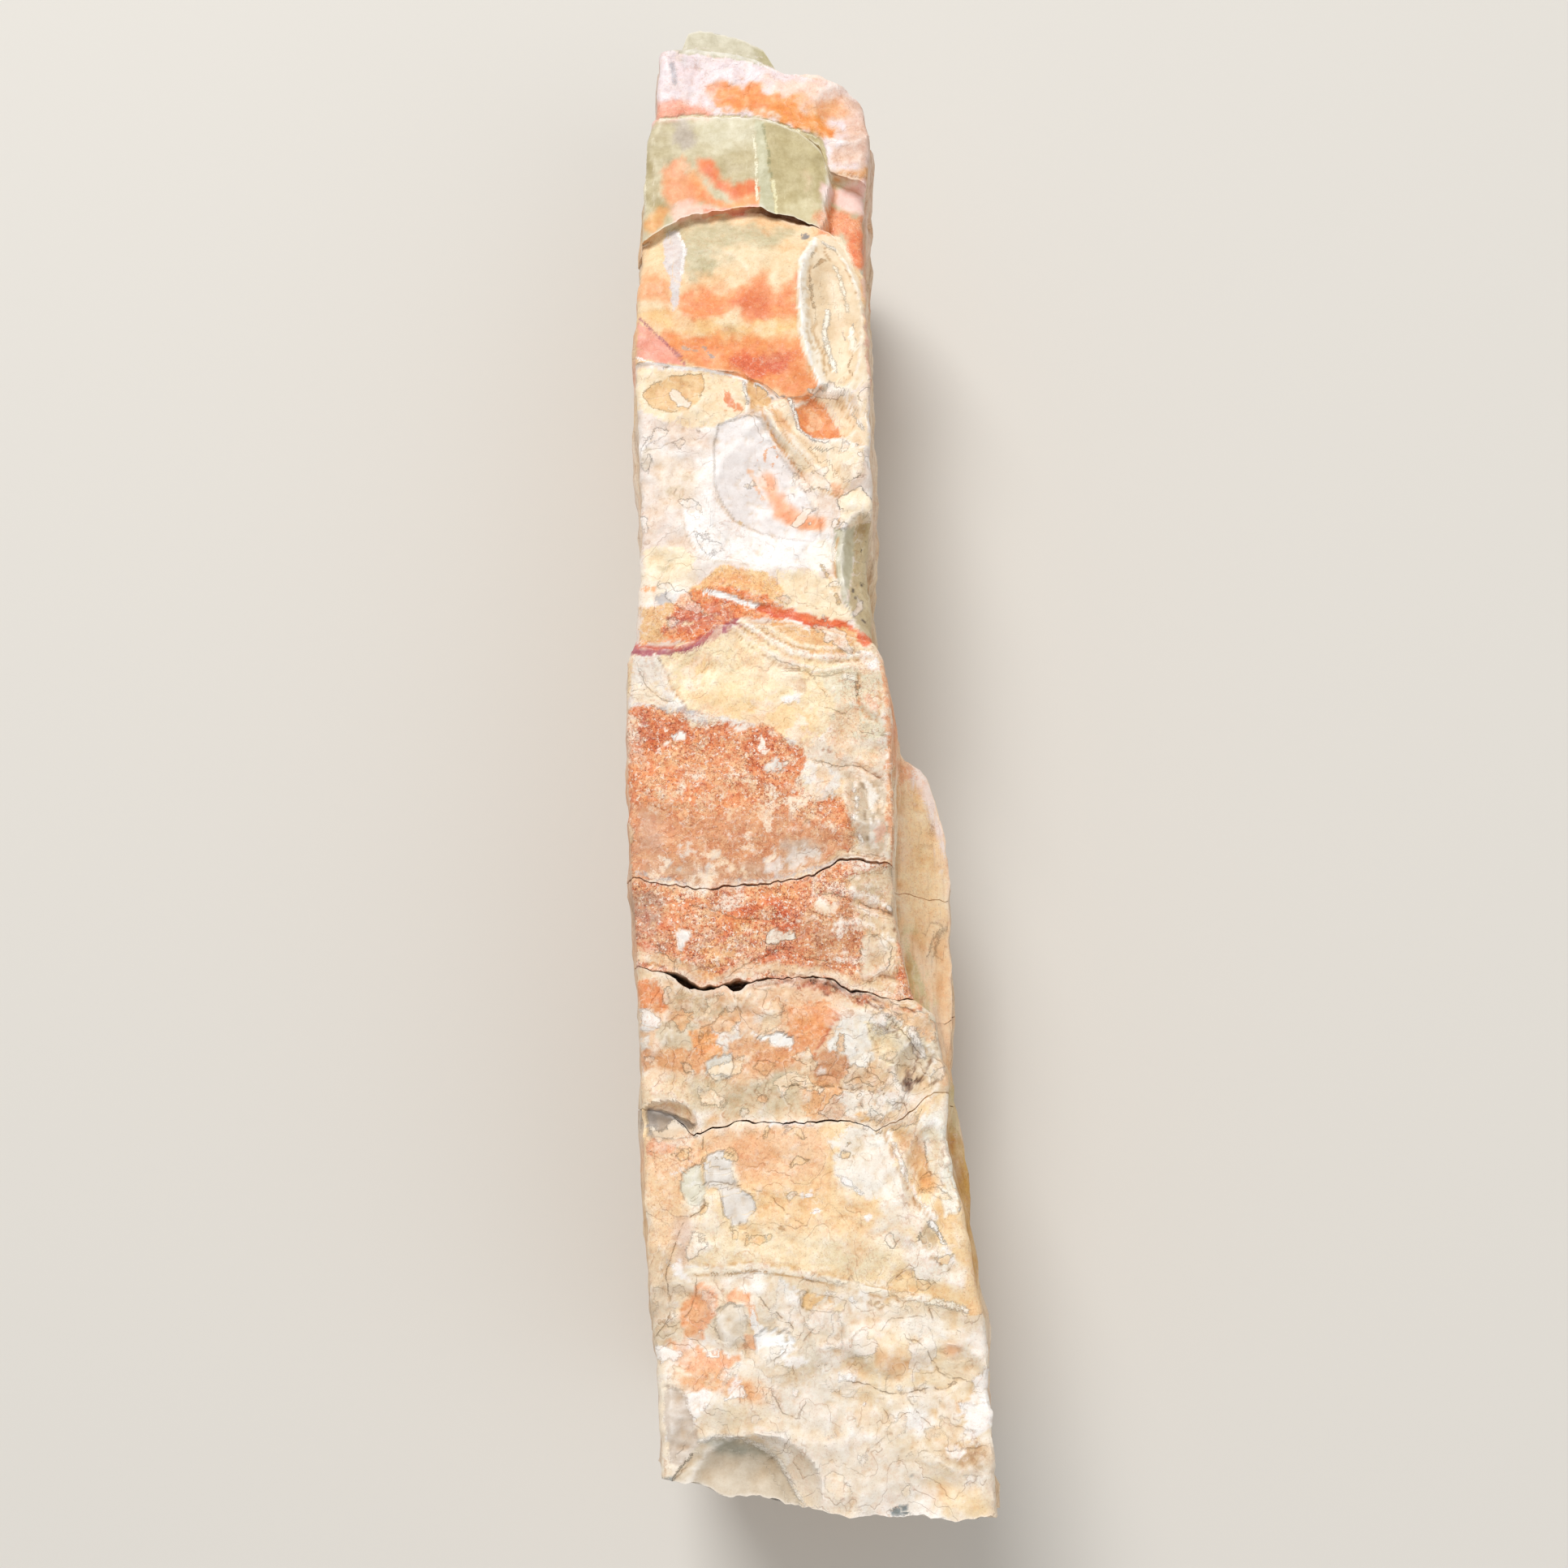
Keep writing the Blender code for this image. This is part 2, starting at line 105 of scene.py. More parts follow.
CRACK_ONE = [
    (-35, -48.7), (-28, -50.4), (-21.6, -51.8), (-8.3, -50.4), (1.7, -48.7), (7.5, -45.3),
    (16.3, -46.2),
]
MIDDLE_STEP = [
    (-37.4, 0.9), (-27.6, 0.9), (-22.4, 2.7), (-19, 6.1), (-12, 6.8), (-1.6, 6.5),
    (8.8, 3.7), (16.6, 1.4),
]
SHOULDER_RIM = [
    (-36.8, 69.6), (-25, 68.2), (-13.3, 66.1), (-8.7, 64.1), (-5, 61), (2.2, 61),
    (8.6, 66.7), (14, 71.3),
]
BLOCK_GAP = [
    (-36, 103), (-28, 109), (-20.4, 110.6), (-10.9, 112.2), (-7, 110.6), (2.5, 108.4),
    (6.3, 107), (9.2, 103.5), (14, 95),
]
BLOCK_TOP = [
    (-36.7, 136.7), (-22.6, 137.6), (-9, 137.3), (-1.3, 134.6), (4.5, 130.7), (7, 124),
    (15, 121),
]
HEAD_END = [
    (-34, 158.6), (-21, 158.8), (-11.5, 156.3), (-5.3, 153.2), (4.5, 151), (10.3, 148.3),
    (15.2, 144.1), (16.5, 140),
]
NARROW_END = [
    (-34, 159.8), (-30, 160.4), (-28, 168.3), (-25, 169.5), (-17, 168), (-9, 164.5),
    (-5.3, 156.5), (-3, 153.6), (4.5, 152), (10.3, 149.3), (15.2, 145.1), (16.5, 141),
]

# Each line with the half width of its step or crack, how far it strays in small jags,
# and how deep it opens below the face
LINES = [
    (WIDE_END, 0.0, 1.1, 0.0), (LOW_LEDGE, 0.5, 0.6, 0.0), (CRACK_THREE, 0.17, 0.9, 3.0),
    (CRACK_TWO, 0.2, 1.0, 6.0), (CRACK_ONE, 0.17, 0.6, 3.0), (MIDDLE_STEP, 0.4, 0.5, 0.0),
    (SHOULDER_RIM, 0.4, 0.7, 0.0), (BLOCK_GAP, 0.1, 0.2, 2.2), (BLOCK_TOP, 0.5, 0.3, 0.0),
    (HEAD_END, 0.3, 0.5, 0.0), (NARROW_END, 0.0, 0.6, 0.0),
]
# Where a crack gapes: line, x, half length and extra half width
HOLES = [
    (3, -24.0, 4.5, 0.8), (3, -13.5, 2.6, 1.1), (3, -19.0, 2.0, 0.4), (4, 9.0, 5.0, 0.15),
    (7, -1.5, 5.0, 0.7),
]
# How open each crack is, by x: a share of its depth and of its shadow
OPENNESS = {
    2: [(-33, 0.03), (-25, 0.08), (-20, 0.8), (6, 0.7), (14, 0.5), (17, 0.12)],
    3: [(-33, 0.2), (-28, 0.9), (-11, 1.0), (-8, 0.8), (6, 0.6), (10, 0.9), (19, 0.6)],
    4: [(-36, 0.2), (-24, 0.45), (-14, 0.7), (0, 0.5), (6, 0.9), (11, 0.9), (16, 0.3)],
    7: [(-36, 0.15), (-30, 0.05), (-15, 0.1), (-7, 0.9), (1, 1.0), (4, 0.2), (6, 0.0)],
}
# Height of the face against its plane in each zone, at its wide and narrow side
ZONE_LEVELS = [
    (0.0, 0.5), (0.55, 0.4), (0.2, 0.5), (0.0, 0.2), (0.4, 0.8), (-0.3, 0.1), (0.6, 0.6),
    (-1.6, -2.0), (-5.6, -5.0), (-10.0, -11.0),
]
LOWER, CREAM, MOTTLED, RUST_TWO, RUST_ONE, WHITE, SHOULDER, BLOCK, HEAD, CAP = range(10)
GAP_LINE = 7

SHARP_ANGLE = 38.0          # degrees between two faces that meet in a crisp edge
SMALL_JAG = 0.42            # how far a crack strays again, every few millimetres
SIDE_CUT = 1.8              # how deep the cracks cut the long sides, fading downwards
SIDE_WANDER = 5.0           # how far they stray along the stone on their way down
UNDERCUT = 1.6              # how far the gap runs in under the raised block
SHOULDER_FALL = 4.4         # drop of the shoulder block towards the gap
SHOULDER_ROUND = 17.0       # length over which it falls
RIM_FADE = 0.6              # how much of the shoulder's step is missing at its right
# The raised block's right end, as (y, x)
BLOCK_SIDE = [
    (104, 2.2), (106.3, 3.2), (108, 4.6), (111, 5.9), (114.4, 5.3), (120.4, 6.6), (125, 6.0),
    (129.6, 4.4), (133, 1),
]
FACET_FROM, FACET_SLOPE = -9.0, 0.16    # the block's right facet and its fall
BELOW_BLOCK = -8.6          # level of the low ground beside the block

# Scars where flakes came off: centre x, y, half width, half length, turn, depth, tilt
SCARS = [
    (6.6, 82.5, 6.8, 20, 4, 3.2, 0.4), (-7, 38, 12, 19, -18, 2.2, 0.3),
    (6, 57, 7, 7, 0, 2.6, 0.3), (14.5, 17, 5.5, 15, 8, 7.5, 0.6),
    (-9, -165, 12, 10, 0, 5.0, 0.0), (22.5, -88, 4.5, 5, 0, 2.2, 0.0),
    (23, -107, 3.5, 9, -15, 2.6, 0.2), (-27, -98, 6, 4, 0, 2.8, 0.0),
    (12, -25, 8, 13, 10, 1.8, 0.5), (13, -60, 7, 9, -12, 1.8, 0.5),
    (28, -150, 8, 11, 10, 2.2, 0.3), (-24, -140, 9, 12, 15, 1.8, 0.2),
    (4, -148, 10, 8, 20, 1.6, 0.2), (10.5, 140, 7, 8, 20, 2.4, 0.4),
    (-22, 90, 10, 9, 0, 1.2, 0.0),
]
CLEAN_SCARS = (0, 4, 7)     # the ones that broke like glass, smooth inside
# The same on the long sides, by y and height, and on the back, by x and y
LEFT_SCARS = [
    (-122, 26, 27, 15, 6, 5.0, 0.2), (22, 42, 36, 11, -4, 3.0, 0.2),
    (92, 26, 28, 16, 8, 6.0, 0.2), (-50, 53, 24, 8, 3, 2.4, 0.0),
    (138, 47, 16, 13, 0, 4.5, 0.3), (-148, 58, 15, 10, 0, 2.6, 0.0),
    (-22, 17, 30, 12, -5, 3.6, 0.0),
]
RIGHT_SCARS = [
    (-104, 20, 32, 12, 5, 4.0, 0.2), (-22, 22, 26, 12, -6, 4.0, 0.2),
    (62, 24, 36, 15, 4, 6.0, 0.2), (124, 36, 20, 13, 0, 4.0, 0.3),
    (40, 57, 24, 7, 2, 1.4, 0.0), (96, 52, 24, 7, 0, 1.8, 0.0),
    (-150, 16, 16, 12, 0, 4.0, 0.0),
]
BACK_SCARS = [
    (-14, -122, 14, 31, 10, 3.0, 0.0), (13, -46, 13, 35, -6, 3.4, 0.0),
    (-12, 42, 15, 29, 12, 3.0, 0.0), (13, 80, 9, 18, 0, 2.4, 0.0),
]
# Ridges and lumps that stand proud: x, y, half width, half length, turn, height
LUMPS = [
    (0.6, 82, 1.3, 19, 3, 0.7), (-4, 52, 1.8, 15, 42, 1.3), (12, 43, 4, 6, 10, 1.6),
    (15, 33, 2.5, 4, 0, 2.0), (17, -78, 7, 8, 0, 1.2),
    (20, -115, 6, 7, 20, 1.4), (-14, -135, 9, 5, 10, 1.2), (14, -140, 8, 5, -12, 1.4),
    (24, -160, 7, 4, 0, 1.0), (12, -35, 4, 8, 15, 1.2),
]

# How each zone of the face broke: height of its lumps, of its thin flaked layers and of
# its crumpled folds, in millimetres, and how granular its rust looks, from 0 to 1
BREAK_OF_ZONE = {
    LOWER: (0.45, 0.6, 0.35, 0.12), CREAM: (0.3, 0.6, 0.4, 0.2), MOTTLED: (0.4, 0.7, 0.5, 0.2),
    RUST_TWO: (0.45, 0.6, 0.4, 0.9), RUST_ONE: (0.25, 0.5, 0.5, 0.4), WHITE: (0.25, 0.5, 0.2, 0.1),
    SHOULDER: (0.12, 0.1, 0.1, 0.12), BLOCK: (0.08, 0.0, 0.0, 0.0), HEAD: (0.4, 0.4, 0.2, 0.15),
    CAP: (0.1, 0.1, 0.0, 0.0),
}

# Grid of the stone: cells on the face, and how many of them make one cell elsewhere
FINE = 4
ROW_PITCH, COLUMNS, LAYERS = 0.56, 100, 60
FOOT_SHARE = 0.68           # share of the layers below the foot of the right side
LIP_SHARE = 0.40            # share of the layers below the bench's lip
ROWS_AT = -8.0              # the x at which the rows are shared out

# Where the photograph was taken from, in the outlines' millimetres, and its frame
CAMERA = (-4.0, -119.28, 386.74)
CAMERA_TILT = 16.0          # degrees from straight down, towards the narrow end
FIELD_OF_VIEW = 53.0        # degrees, across the square picture
PICTURE = 1932              # pixels along each side of it
SENSOR = 36.0


def ease(value):
    """Smooth step from 0 to 1."""
    value = np.clip(value, 0.0, 1.0)
    return value * value * (3.0 - 2.0 * value)


def mix(first, second, share):
    """A value or colour part of the way from the first to the second."""
    return first + (second - first) * share


def along(points, at):
    """Reads a polyline of (position, value) pairs, level beyond its ends."""
    return np.interp(at, [point[0] for point in points], [point[1] for point in points])


def sampled(x, y, z, size, kind, *settings):
    """Values of a kind of noise, with lumps of the given size."""
    places = np.stack(np.broadcast_arrays(x, y, z), -1) / size
    values = [kind(place, 1.0, 2.0, *settings) for place in places.reshape(-1, 3).tolist()]
    return np.array(values).reshape(places.shape[:-1])


def rough(x, y, z, size, octaves=3):
    """Natural unevenness from about -1 to 1."""
    return sampled(x, y, z, size, noise.fractal, octaves)


def creased(x, y, z, size, octaves=4):
    """Unevenness with sharp crests from about 0 to 1, as crumpled layers have."""
    return sampled(x, y, z, size, noise.ridged_multi_fractal, octaves, 1.0, 2.0) / 1.6


def layered(height, step, wall=0.25):
    """Turns a smooth height into thin broken layers, flat on top with steep walls."""
    count = np.floor(height / step)
    rest = height / step - count
    return (count + ease((rest - 0.5 + wall / 2) / wall)) * step


def row_plan():
    """Each fine row: its zone, its share of the way through it, whether it lies in the
    line beyond that zone, and where it lies across that line, from -1 to 1."""
    rows = []
    for zone in range(CAP + 1):
        low, high = along(LINES[zone][0], ROWS_AT), along(LINES[zone + 1][0], ROWS_AT)
        cells = FINE * max(1, round((high - low) / (FINE * ROW_PITCH)))
        rows += [(zone, cell / cells, 0, 0.0) for cell in range(cells + 1)]
        if zone < CAP:
            cells = 2 * FINE if LINES[zone + 1][3] else FINE
            rows += [(zone, 1.0, 1, 2.0 * cell / cells - 1.0) for cell in range(1, cells)]
    return np.array(rows)


ROWS = row_plan()


def line_y(index, x, depth):
    """The y of a line where it passes x. Below the face it strays with depth, but for the ends."""
    points, _, jag, _ = LINES[index]
    y = along(points, x) + jag * rough(x, index * 50.0, 0.0, 6.0, 4)
    if LINES[index][3]:
        y = y + SMALL_JAG * rough(x, index * 20.0, 3.0, 1.7, 3)
    if 0 < index < CAP:
        y = y + SIDE_WANDER * depth * rough(index * 37.0, 0.0, depth * FACE_HEIGHT, 30.0)
    return y


def line_half(index, x, depth):
    """Half the width of a step or crack where it passes x."""
    half = LINES[index][1] * (1.0 + 0.7 * rough(x, index * 50.0, 9.0, 7.0, 2)
                              + 0.6 * rough(x, index * 50.0, 4.0, 1.6, 2))
    for line, centre, reach, extra in HOLES:
        if line == index:
            half = half + extra * ease(1.0 - abs(x - centre) / reach)
    return np.maximum(half, 0.09) * (1.0 - 0.6 * ease(2.0 * depth))


def crack_profile(across):
    """Share of a crack's full depth at a place across it, from -1 to 1."""
    return 1.0 - np.abs(across) ** 2.6


class Skin:
    """Every vertex of the stone: where it lies in the blank, in which zone of the face,
    and whether the line beyond that zone opens as a crack."""

    def __init__(self, column, row, layer):
        self.column, self.row = column, row
        self.height = layer / LAYERS
        self.depth = 1.0 - self.height
        plan = ROWS[row]
        self.zone = plan[:, 0].astype(int)
        self.share, self.in_line, self.across_line = plan[:, 1], plan[:, 2], plan[:, 3]
        self.opens = np.isin(self.zone + 1, list(OPENNESS))
        self.on_face = layer == LAYERS
        self.on_left = column == 0
        self.on_right = column == COLUMNS
        self.on_wide_end = row == 0
        self.on_narrow_end = row == len(ROWS) - 1


def row_y(skin, x):
    """The y of each vertex where its row passes x. Rows follow the steps and cracks."""
    y = np.zeros_like(x)
    for zone in range(CAP + 1):
        mine = skin.zone == zone
        at, depth = x[mine], skin.depth[mine]
        next_y, next_half = line_y(zone + 1, at, depth), line_half(zone + 1, at, depth)
        start = line_y(zone, at, depth) + line_half(zone, at, depth) * (zone > 0)
        end = next_y - next_half * (zone < CAP)
        inside = mix(start, end, skin.share[mine])
        crossing = next_y + next_half * skin.across_line[mine]
        y[mine] = np.where(skin.in_line[mine] > 0, crossing, inside)
    return y


def benched_at(y):
    """How far the side is stepped by the bench at a y, from 0 to 1."""
    width = along(BENCH_EDGE, y) - along(RIGHT_EDGE, y) - SIDE_FLARE
    return ease(width / BENCH_FADE) * (y < BENCH_EDGE[-1][0])


def side_profile(height, y):
    """Right side: share of the way from face edge to bench lip, relative height and flare."""
    foot_height = 1.0 - (BENCH_DROP - BENCH_SLOPE / 2) / FACE_HEIGHT
    lip_height = 1.0 - (BENCH_DROP + BENCH_SLOPE / 2) / FACE_HEIGHT
    out = np.clip((FOOT_SHARE - height) / (FOOT_SHARE - LIP_SHARE), 0.0, 1.0)
    upper = mix(foot_height, 1.0, (height - FOOT_SHARE) / (1.0 - FOOT_SHARE))
    lower = lip_height * height / LIP_SHARE
    stepped = np.where(height >= FOOT_SHARE, upper, np.where(height < LIP_SHARE, lower,
                                                             mix(foot_height, lip_height, out)))
    benched = benched_at(y)
    relative = mix(height, stepped, benched)
    flare = np.clip((1.0 - relative) / (1.0 - foot_height), 0.0, 1.0)
    return mix(flare, out, benched), relative, flare, benched


def oval(x, y, centre_x, centre_y, half_width, half_length, turn):
    """Nearness to the middle of a turned oval, 1 there and 0 at its rim, and how far
    across it a place lies."""
    angle = math.radians(turn)
    across = (x - centre_x) * math.cos(angle) + (y - centre_y) * math.sin(angle)
    length = (y - centre_y) * math.cos(angle) - (x - centre_x) * math.sin(angle)
    reach = (across / half_width) ** 2 + (length / half_length) ** 2
    return np.clip(1.0 - reach, 0.0, 1.0), across


def bowl(x, y, scar):
    """Depth of a flake scar, sharp at its rim and deeper on its tilted side."""
    *form, depth, tilt = scar
    near, across = oval(x, y, *form)
    return depth * near ** 0.7 * (1.0 + tilt * across / form[2])


def lump(x, y, ridge):
    """Height of a ridge or lump."""
    *form, height = ridge
    return height * oval(x, y, *form)[0]


def zone_level(zone, share, x, y):
    """Height of a zone of the face against its plane, before its surface is broken."""
    low, high = ZONE_LEVELS[zone]
    level = mix(low, high, share)
    if zone == SHOULDER:
        to_gap = along(BLOCK_GAP, x) - y
        level = level - SHOULDER_FALL * ease(1.0 - to_gap / SHOULDER_ROUND) ** 1.4
        past_rim = y - along(SHOULDER_RIM, x)
        level = level - RIM_FADE * ease((x - 3.0) / 5.0) * ease(1.0 - past_rim / 16.0)
    if zone == BLOCK:
        level = level - FACET_SLOPE * np.clip(x - FACET_FROM, 0.0, None)
        level = mix(level, BELOW_BLOCK, ease((x - along(BLOCK_SIDE, y)) / 1.6))
    return level


def face_level(skin, x, y):
    """Height of the broken face against its plane: levels, steps, cracks, scars and lumps."""
    level = np.zeros_like(x)
    for zone in range(CAP + 1):
        mine = skin.zone == zone
        at_x, at_y, share = x[mine], y[mine], skin.share[mine]
        here = zone_level(zone, share, at_x, at_y)
        if zone < CAP:
            across = skin.across_line[mine]
            beyond = zone_level(zone + 1, 0.0, at_x, at_y)
            depth = LINES[zone + 1][3] * (0.8 + 0.3 * rough(at_x, at_y, 5.0, 6.0))
            if zone + 1 in OPENNESS:
                depth = depth * along(OPENNESS[zone + 1], at_x)
            opened = mix(here, beyond, ease((across + 1.0) / 2.0)) - depth * crack_profile(across)
            here = np.where(skin.in_line[mine] > 0, opened, here)
        level[mine] = here
    level += 0.9 * rough(x, y, 0.0, 26.0) + 0.5 * rough(x, y, 8.0, 8.0, 2)
    level += sum(lump(x, y, form) for form in LUMPS)
    return level - sum(bowl(x, y, scar) for scar in SCARS)


def grain(along_y, across, seed):
    """Wood grain broken open: fine fibres and long thin splinters that run along y."""
    fibres = 0.16 * rough(along_y / 14.0, across, seed, 1.1, 3)
    splinters = layered(1.5 * rough(along_y / 5.0, across, seed + 40.0, 7.0, 3), 0.45)
    return fibres + splinters


def tucked(skin):
    """How far the sides draw in towards the back."""
    return BACK_TUCK * np.clip(1.0 - 8.0 * skin.height, 0.0, 1.0)


def left_x(skin, y):
    """The left side: nearly upright along the grain, drawn in at the back."""
    level = skin.depth * FACE_HEIGHT
    below = np.sin(math.pi * np.clip(skin.depth, 0.0, 1.0))
    swell = LEFT_BULGE * below
    wave = 1.2 * rough(0.0, y / 6.0, level, 12.0) * below
    flaked = sum(bowl(y, FACE_HEIGHT - level, scar) for scar in LEFT_SCARS)
    chipped = 0.5 * rough(60.0, y, level / 4.0, 5.0, 4)
    fibres = grain(y, level, 11.0) * ease(6.0 * skin.depth)
    return along(LEFT_EDGE, y) - swell + tucked(skin) + wave + flaked + chipped - fibres


def right_x(skin, y, relative, out, flare, benched):
    """The right side: flared above, stepping out over the bench, drawn in at the back."""
    edge = along(RIGHT_EDGE, y)
    foot = edge + SIDE_FLARE * flare
    lip = np.maximum(along(BENCH_EDGE, y), edge + SIDE_FLARE)
    level = relative * FACE_HEIGHT
    below = ease(6.0 * skin.depth)
    wave = 1.0 * rough(90.0, y / 6.0, skin.height * 84.0, 12.0) * below
    flaked = sum(bowl(y, level, scar) for scar in RIGHT_SCARS) * below
    chipped = 0.6 * rough(130.0, y, level / 4.0, 5.0, 4)
    fibres = grain(y, level, 71.0) * below
    stepped = mix(foot, np.maximum(lip, foot), out * benched)
    return stepped - tucked(skin) + wave - flaked + chipped + fibres


def back_height(x, y, edge_distance):
    """The cleft back: flat where it rests, lifting at the narrow end and chipped at its rim."""
    rise = BACK_RISE * np.clip(y - BACK_RISE_FROM, 0.0, None)
    chip = np.clip(1.0 - edge_distance / 6.0, 0.0, 1.0) * (2.0 + 2.0 * rough(x, y, 40.0, 11.0))
    hollow = ease(edge_distance / 2.0) * np.clip(0.6 + grain(y, x, 150.0), 0.0, None)
    return rise + np.clip(chip, 0.0, None) + hollow + sum(bowl(x, y, scar) for scar in BACK_SCARS)


def end_set_back(skin, x, y):
    """How far the broken ends draw in below the face, fading along the stone."""
    level = skin.depth * FACE_HEIGHT
    below = ease(4.0 * skin.depth)
    lumps = 3.6 * below * rough(x, 0.0, level, 24.0)
    shells = ease(8.0 * skin.depth) * layered(1.4 * rough(x, 30.0, level, 9.0, 3), 0.5)
    crumbs = 0.3 * rough(x, 60.0, level, 2.2, 3)
    wide = ease(1.0 - (y + 166.0) / 30.0) * (7.0 * skin.depth + lumps)
    narrow = ease(1.0 - (160.0 - y) / 30.0) * (9.0 * skin.depth ** 2 - 5.0 * skin.depth + lumps)
    broken = (shells + crumbs) * (skin.on_wide_end.astype(float) - skin.on_narrow_end)
    return wide - narrow + broken


def edge_rounding(distance, radius):
    """Drop of a worn, rounded edge at a distance in from its corner."""
    inward = np.clip(radius - distance, 0.0, radius)
    return radius - np.sqrt(radius ** 2 - inward ** 2)


def broken_surface(skin, x, y):
    """The fine break of the face: thin flaked layers, folds at the right, crumbs and chips."""
    lumps, layers, folds, _ = np.array(list(BREAK_OF_ZONE.values()))[skin.zone].T
    warp = 2.0 * rough(x, y, 33.0, 9.0, 2)
    flakes = layered(1.5 * rough(x + warp, y - warp, 14.0, 13.0, 3), 0.42) * layers
    thin = layered(0.7 * rough(x - warp, y, 90.0, 5.0, 3), 0.22) * layers
    near_right = ease((along(RIGHT_EDGE, y) - x) / -22.0 + 1.0)
    crumpled = creased(x + warp, y * 0.7, 50.0, 7.0) * (0.2 + 1.5 * near_right) * folds
    crumbs = lumps * (0.35 * rough(x, y, 70.0, 2.4, 3) + 0.4 * rough(x, y, 17.0, 5.0, 2))
    clean = sum(bowl(x, y, SCARS[number]) for number in CLEAN_SCARS)
    return (flakes + thin + 1.2 * crumpled + crumbs) * (1.0 - 0.85 * ease(clean))


def place_skin(skin, relief):
    """Where each vertex lies, in the outlines' millimetres, and the coat of the face,
    whose marks stand proud or lie low by their share of the relief."""
    across = skin.column / COLUMNS
    y = row_y(skin, np.full(len(across), ROWS_AT))
    for _ in range(3):      # x and y depend on each other and settle in three rounds
        out, relative, flare, benched = side_profile(skin.height, y)
        left, right = left_x(skin, y), right_x(skin, y, relative, out, flare, benched)
        x = mix(left, right, across)
        y = row_y(skin, x)
    y = y + end_set_back(skin, x, y)
    centre = (skin.in_line > 0) & (skin.across_line == 0.0)
    cut = SIDE_CUT * ease(1.6 * skin.height) * (centre & skin.opens)
    x = x + cut * skin.on_left - cut * skin.on_right * (1.0 - benched * (skin.height < FOOT_SHARE))
    edge_distance = np.maximum(np.minimum(x - left, right - x), 0.0)
    radius = FACE_EDGE_RADIUS * (1.0 + 0.6 * rough(x, y, 20.0, 9.0))
    level = face_level(skin, x, y) - 0.6 * edge_rounding(edge_distance, np.clip(radius, 0.4, None))
    top = FACE_HEIGHT + level + broken_surface(skin, x, y)
    face = skin.on_face
    coat = face_coat(skin.zone[face], *seen_at(x[face], y[face], top[face]))
    top[face] += relief * coat.lift
    undercut = UNDERCUT * crack_profile(skin.across_line) * (skin.zone + 1 == GAP_LINE)
    undercut = undercut * along(OPENNESS[GAP_LINE], x)
    y = y + undercut * (skin.in_line > 0) * face
    bottom = back_height(x, y, edge_distance)
    relative = mix(skin.height, relative, across)
    return x, y, mix(bottom, top, relative), coat


# Colours of the stone, as sRGB hex, and the painted shade of its cracks
TONES = {
    "bright": "fbf6f1", "chalk": "f4ede6", "pink white": "f8e7e1", "grey white": "e8e0d5",
    "cream": "f5e3c6", "yellow cream": "f9e6bf", "honey": "f6cf95", "ochre": "eabd85",
    "tan": "dcbb91", "brown": "b58c66", "olive": "cdbe94", "pale olive": "e7ddc1",
    "blue grey": "c6c0be", "slate": "918b88", "peach": "fad0ae", "orange": "f9ad77",
    "deep orange": "f3965b", "rust": "efa272", "red rust": "e07c4a", "red": "dc6437",
    "brick": "d27358", "wine": "b56a63", "pink": "f7c4ab", "dusty pink": "dfb09a",
    # crack and gap: painted shade, laid deep in the open cracks and in the gap under the raised block
    "crack": "3a2619", "gap": "6f4224",
}

# What each zone of the face is made of: its main, darker and lighter colour
ZONE_TONES = {
    LOWER: ("efe0c9", "e8d2b0", "f9f3ea"), CREAM: ("f6dcb1", "efc993", "fbf0de"),
    MOTTLED: ("e7cda9", "e8b888", "f2e8da"), RUST_TWO: ("f0b083", "e1915f", "f6d4b0"),
    RUST_ONE: ("f3dfbf", "e6c797", "faf2e6"), WHITE: ("ecdfd5", "e8d1bc", "f7f0ea"),
    SHOULDER: ("f0c795", "e9ae78", "f5dcb4"), BLOCK: ("d6caac", "c4b591", "e2dac2"),
    HEAD: ("f6ddd2", "f0bd9f", "faece5"), CAP: ("d5cbad", "c2b68f", "e4dcc4"),
}

Mark = namedtuple("Mark", "tone points width soft cover lift ragged ink grain")
SPOT_POINTS = 12


def traced(outline):
    """The points of an outline written as "x,y x,y"."""
    return [tuple(float(number) for number in point.split(",")) for point in outline.split()]


def area(tone, soft, outline, cover=1.0, lift=0.0, ragged=0.9, ink=0.0, grain=None):
    """A patch of colour inside an outline, with an edge so many millimetres soft. Its lift
    stands proud, its ink outlines it."""
    return Mark(tone, traced(outline), None, soft, cover, lift, ragged, ink, grain)


def spot(tone, soft, middle, half, **looks):
    """A round or oval patch, by its middle and half sizes."""
    turns = [math.tau * step / SPOT_POINTS for step in range(SPOT_POINTS)]
    rim = [(middle[0] + half[0] * math.cos(turn), middle[1] + half[1] * math.sin(turn))
           for turn in turns]
    return area(tone, soft, "", **looks)._replace(points=rim)


def streak(tone, width, soft, line, cover=1.0, lift=0.0, ragged=0.5, ink=0.0, grain=None):
    """A band of colour along a line, of a width in millimetres."""
    return Mark(tone, traced(line), width, soft, cover, lift, ragged, ink, grain)


def placed(left, top, marks):
    """Marks whose outlines are measured from a corner, put in their place in the frame."""
    return [mark._replace(points=[(x + left, y + top) for x, y in mark.points])
            for mark in marks]


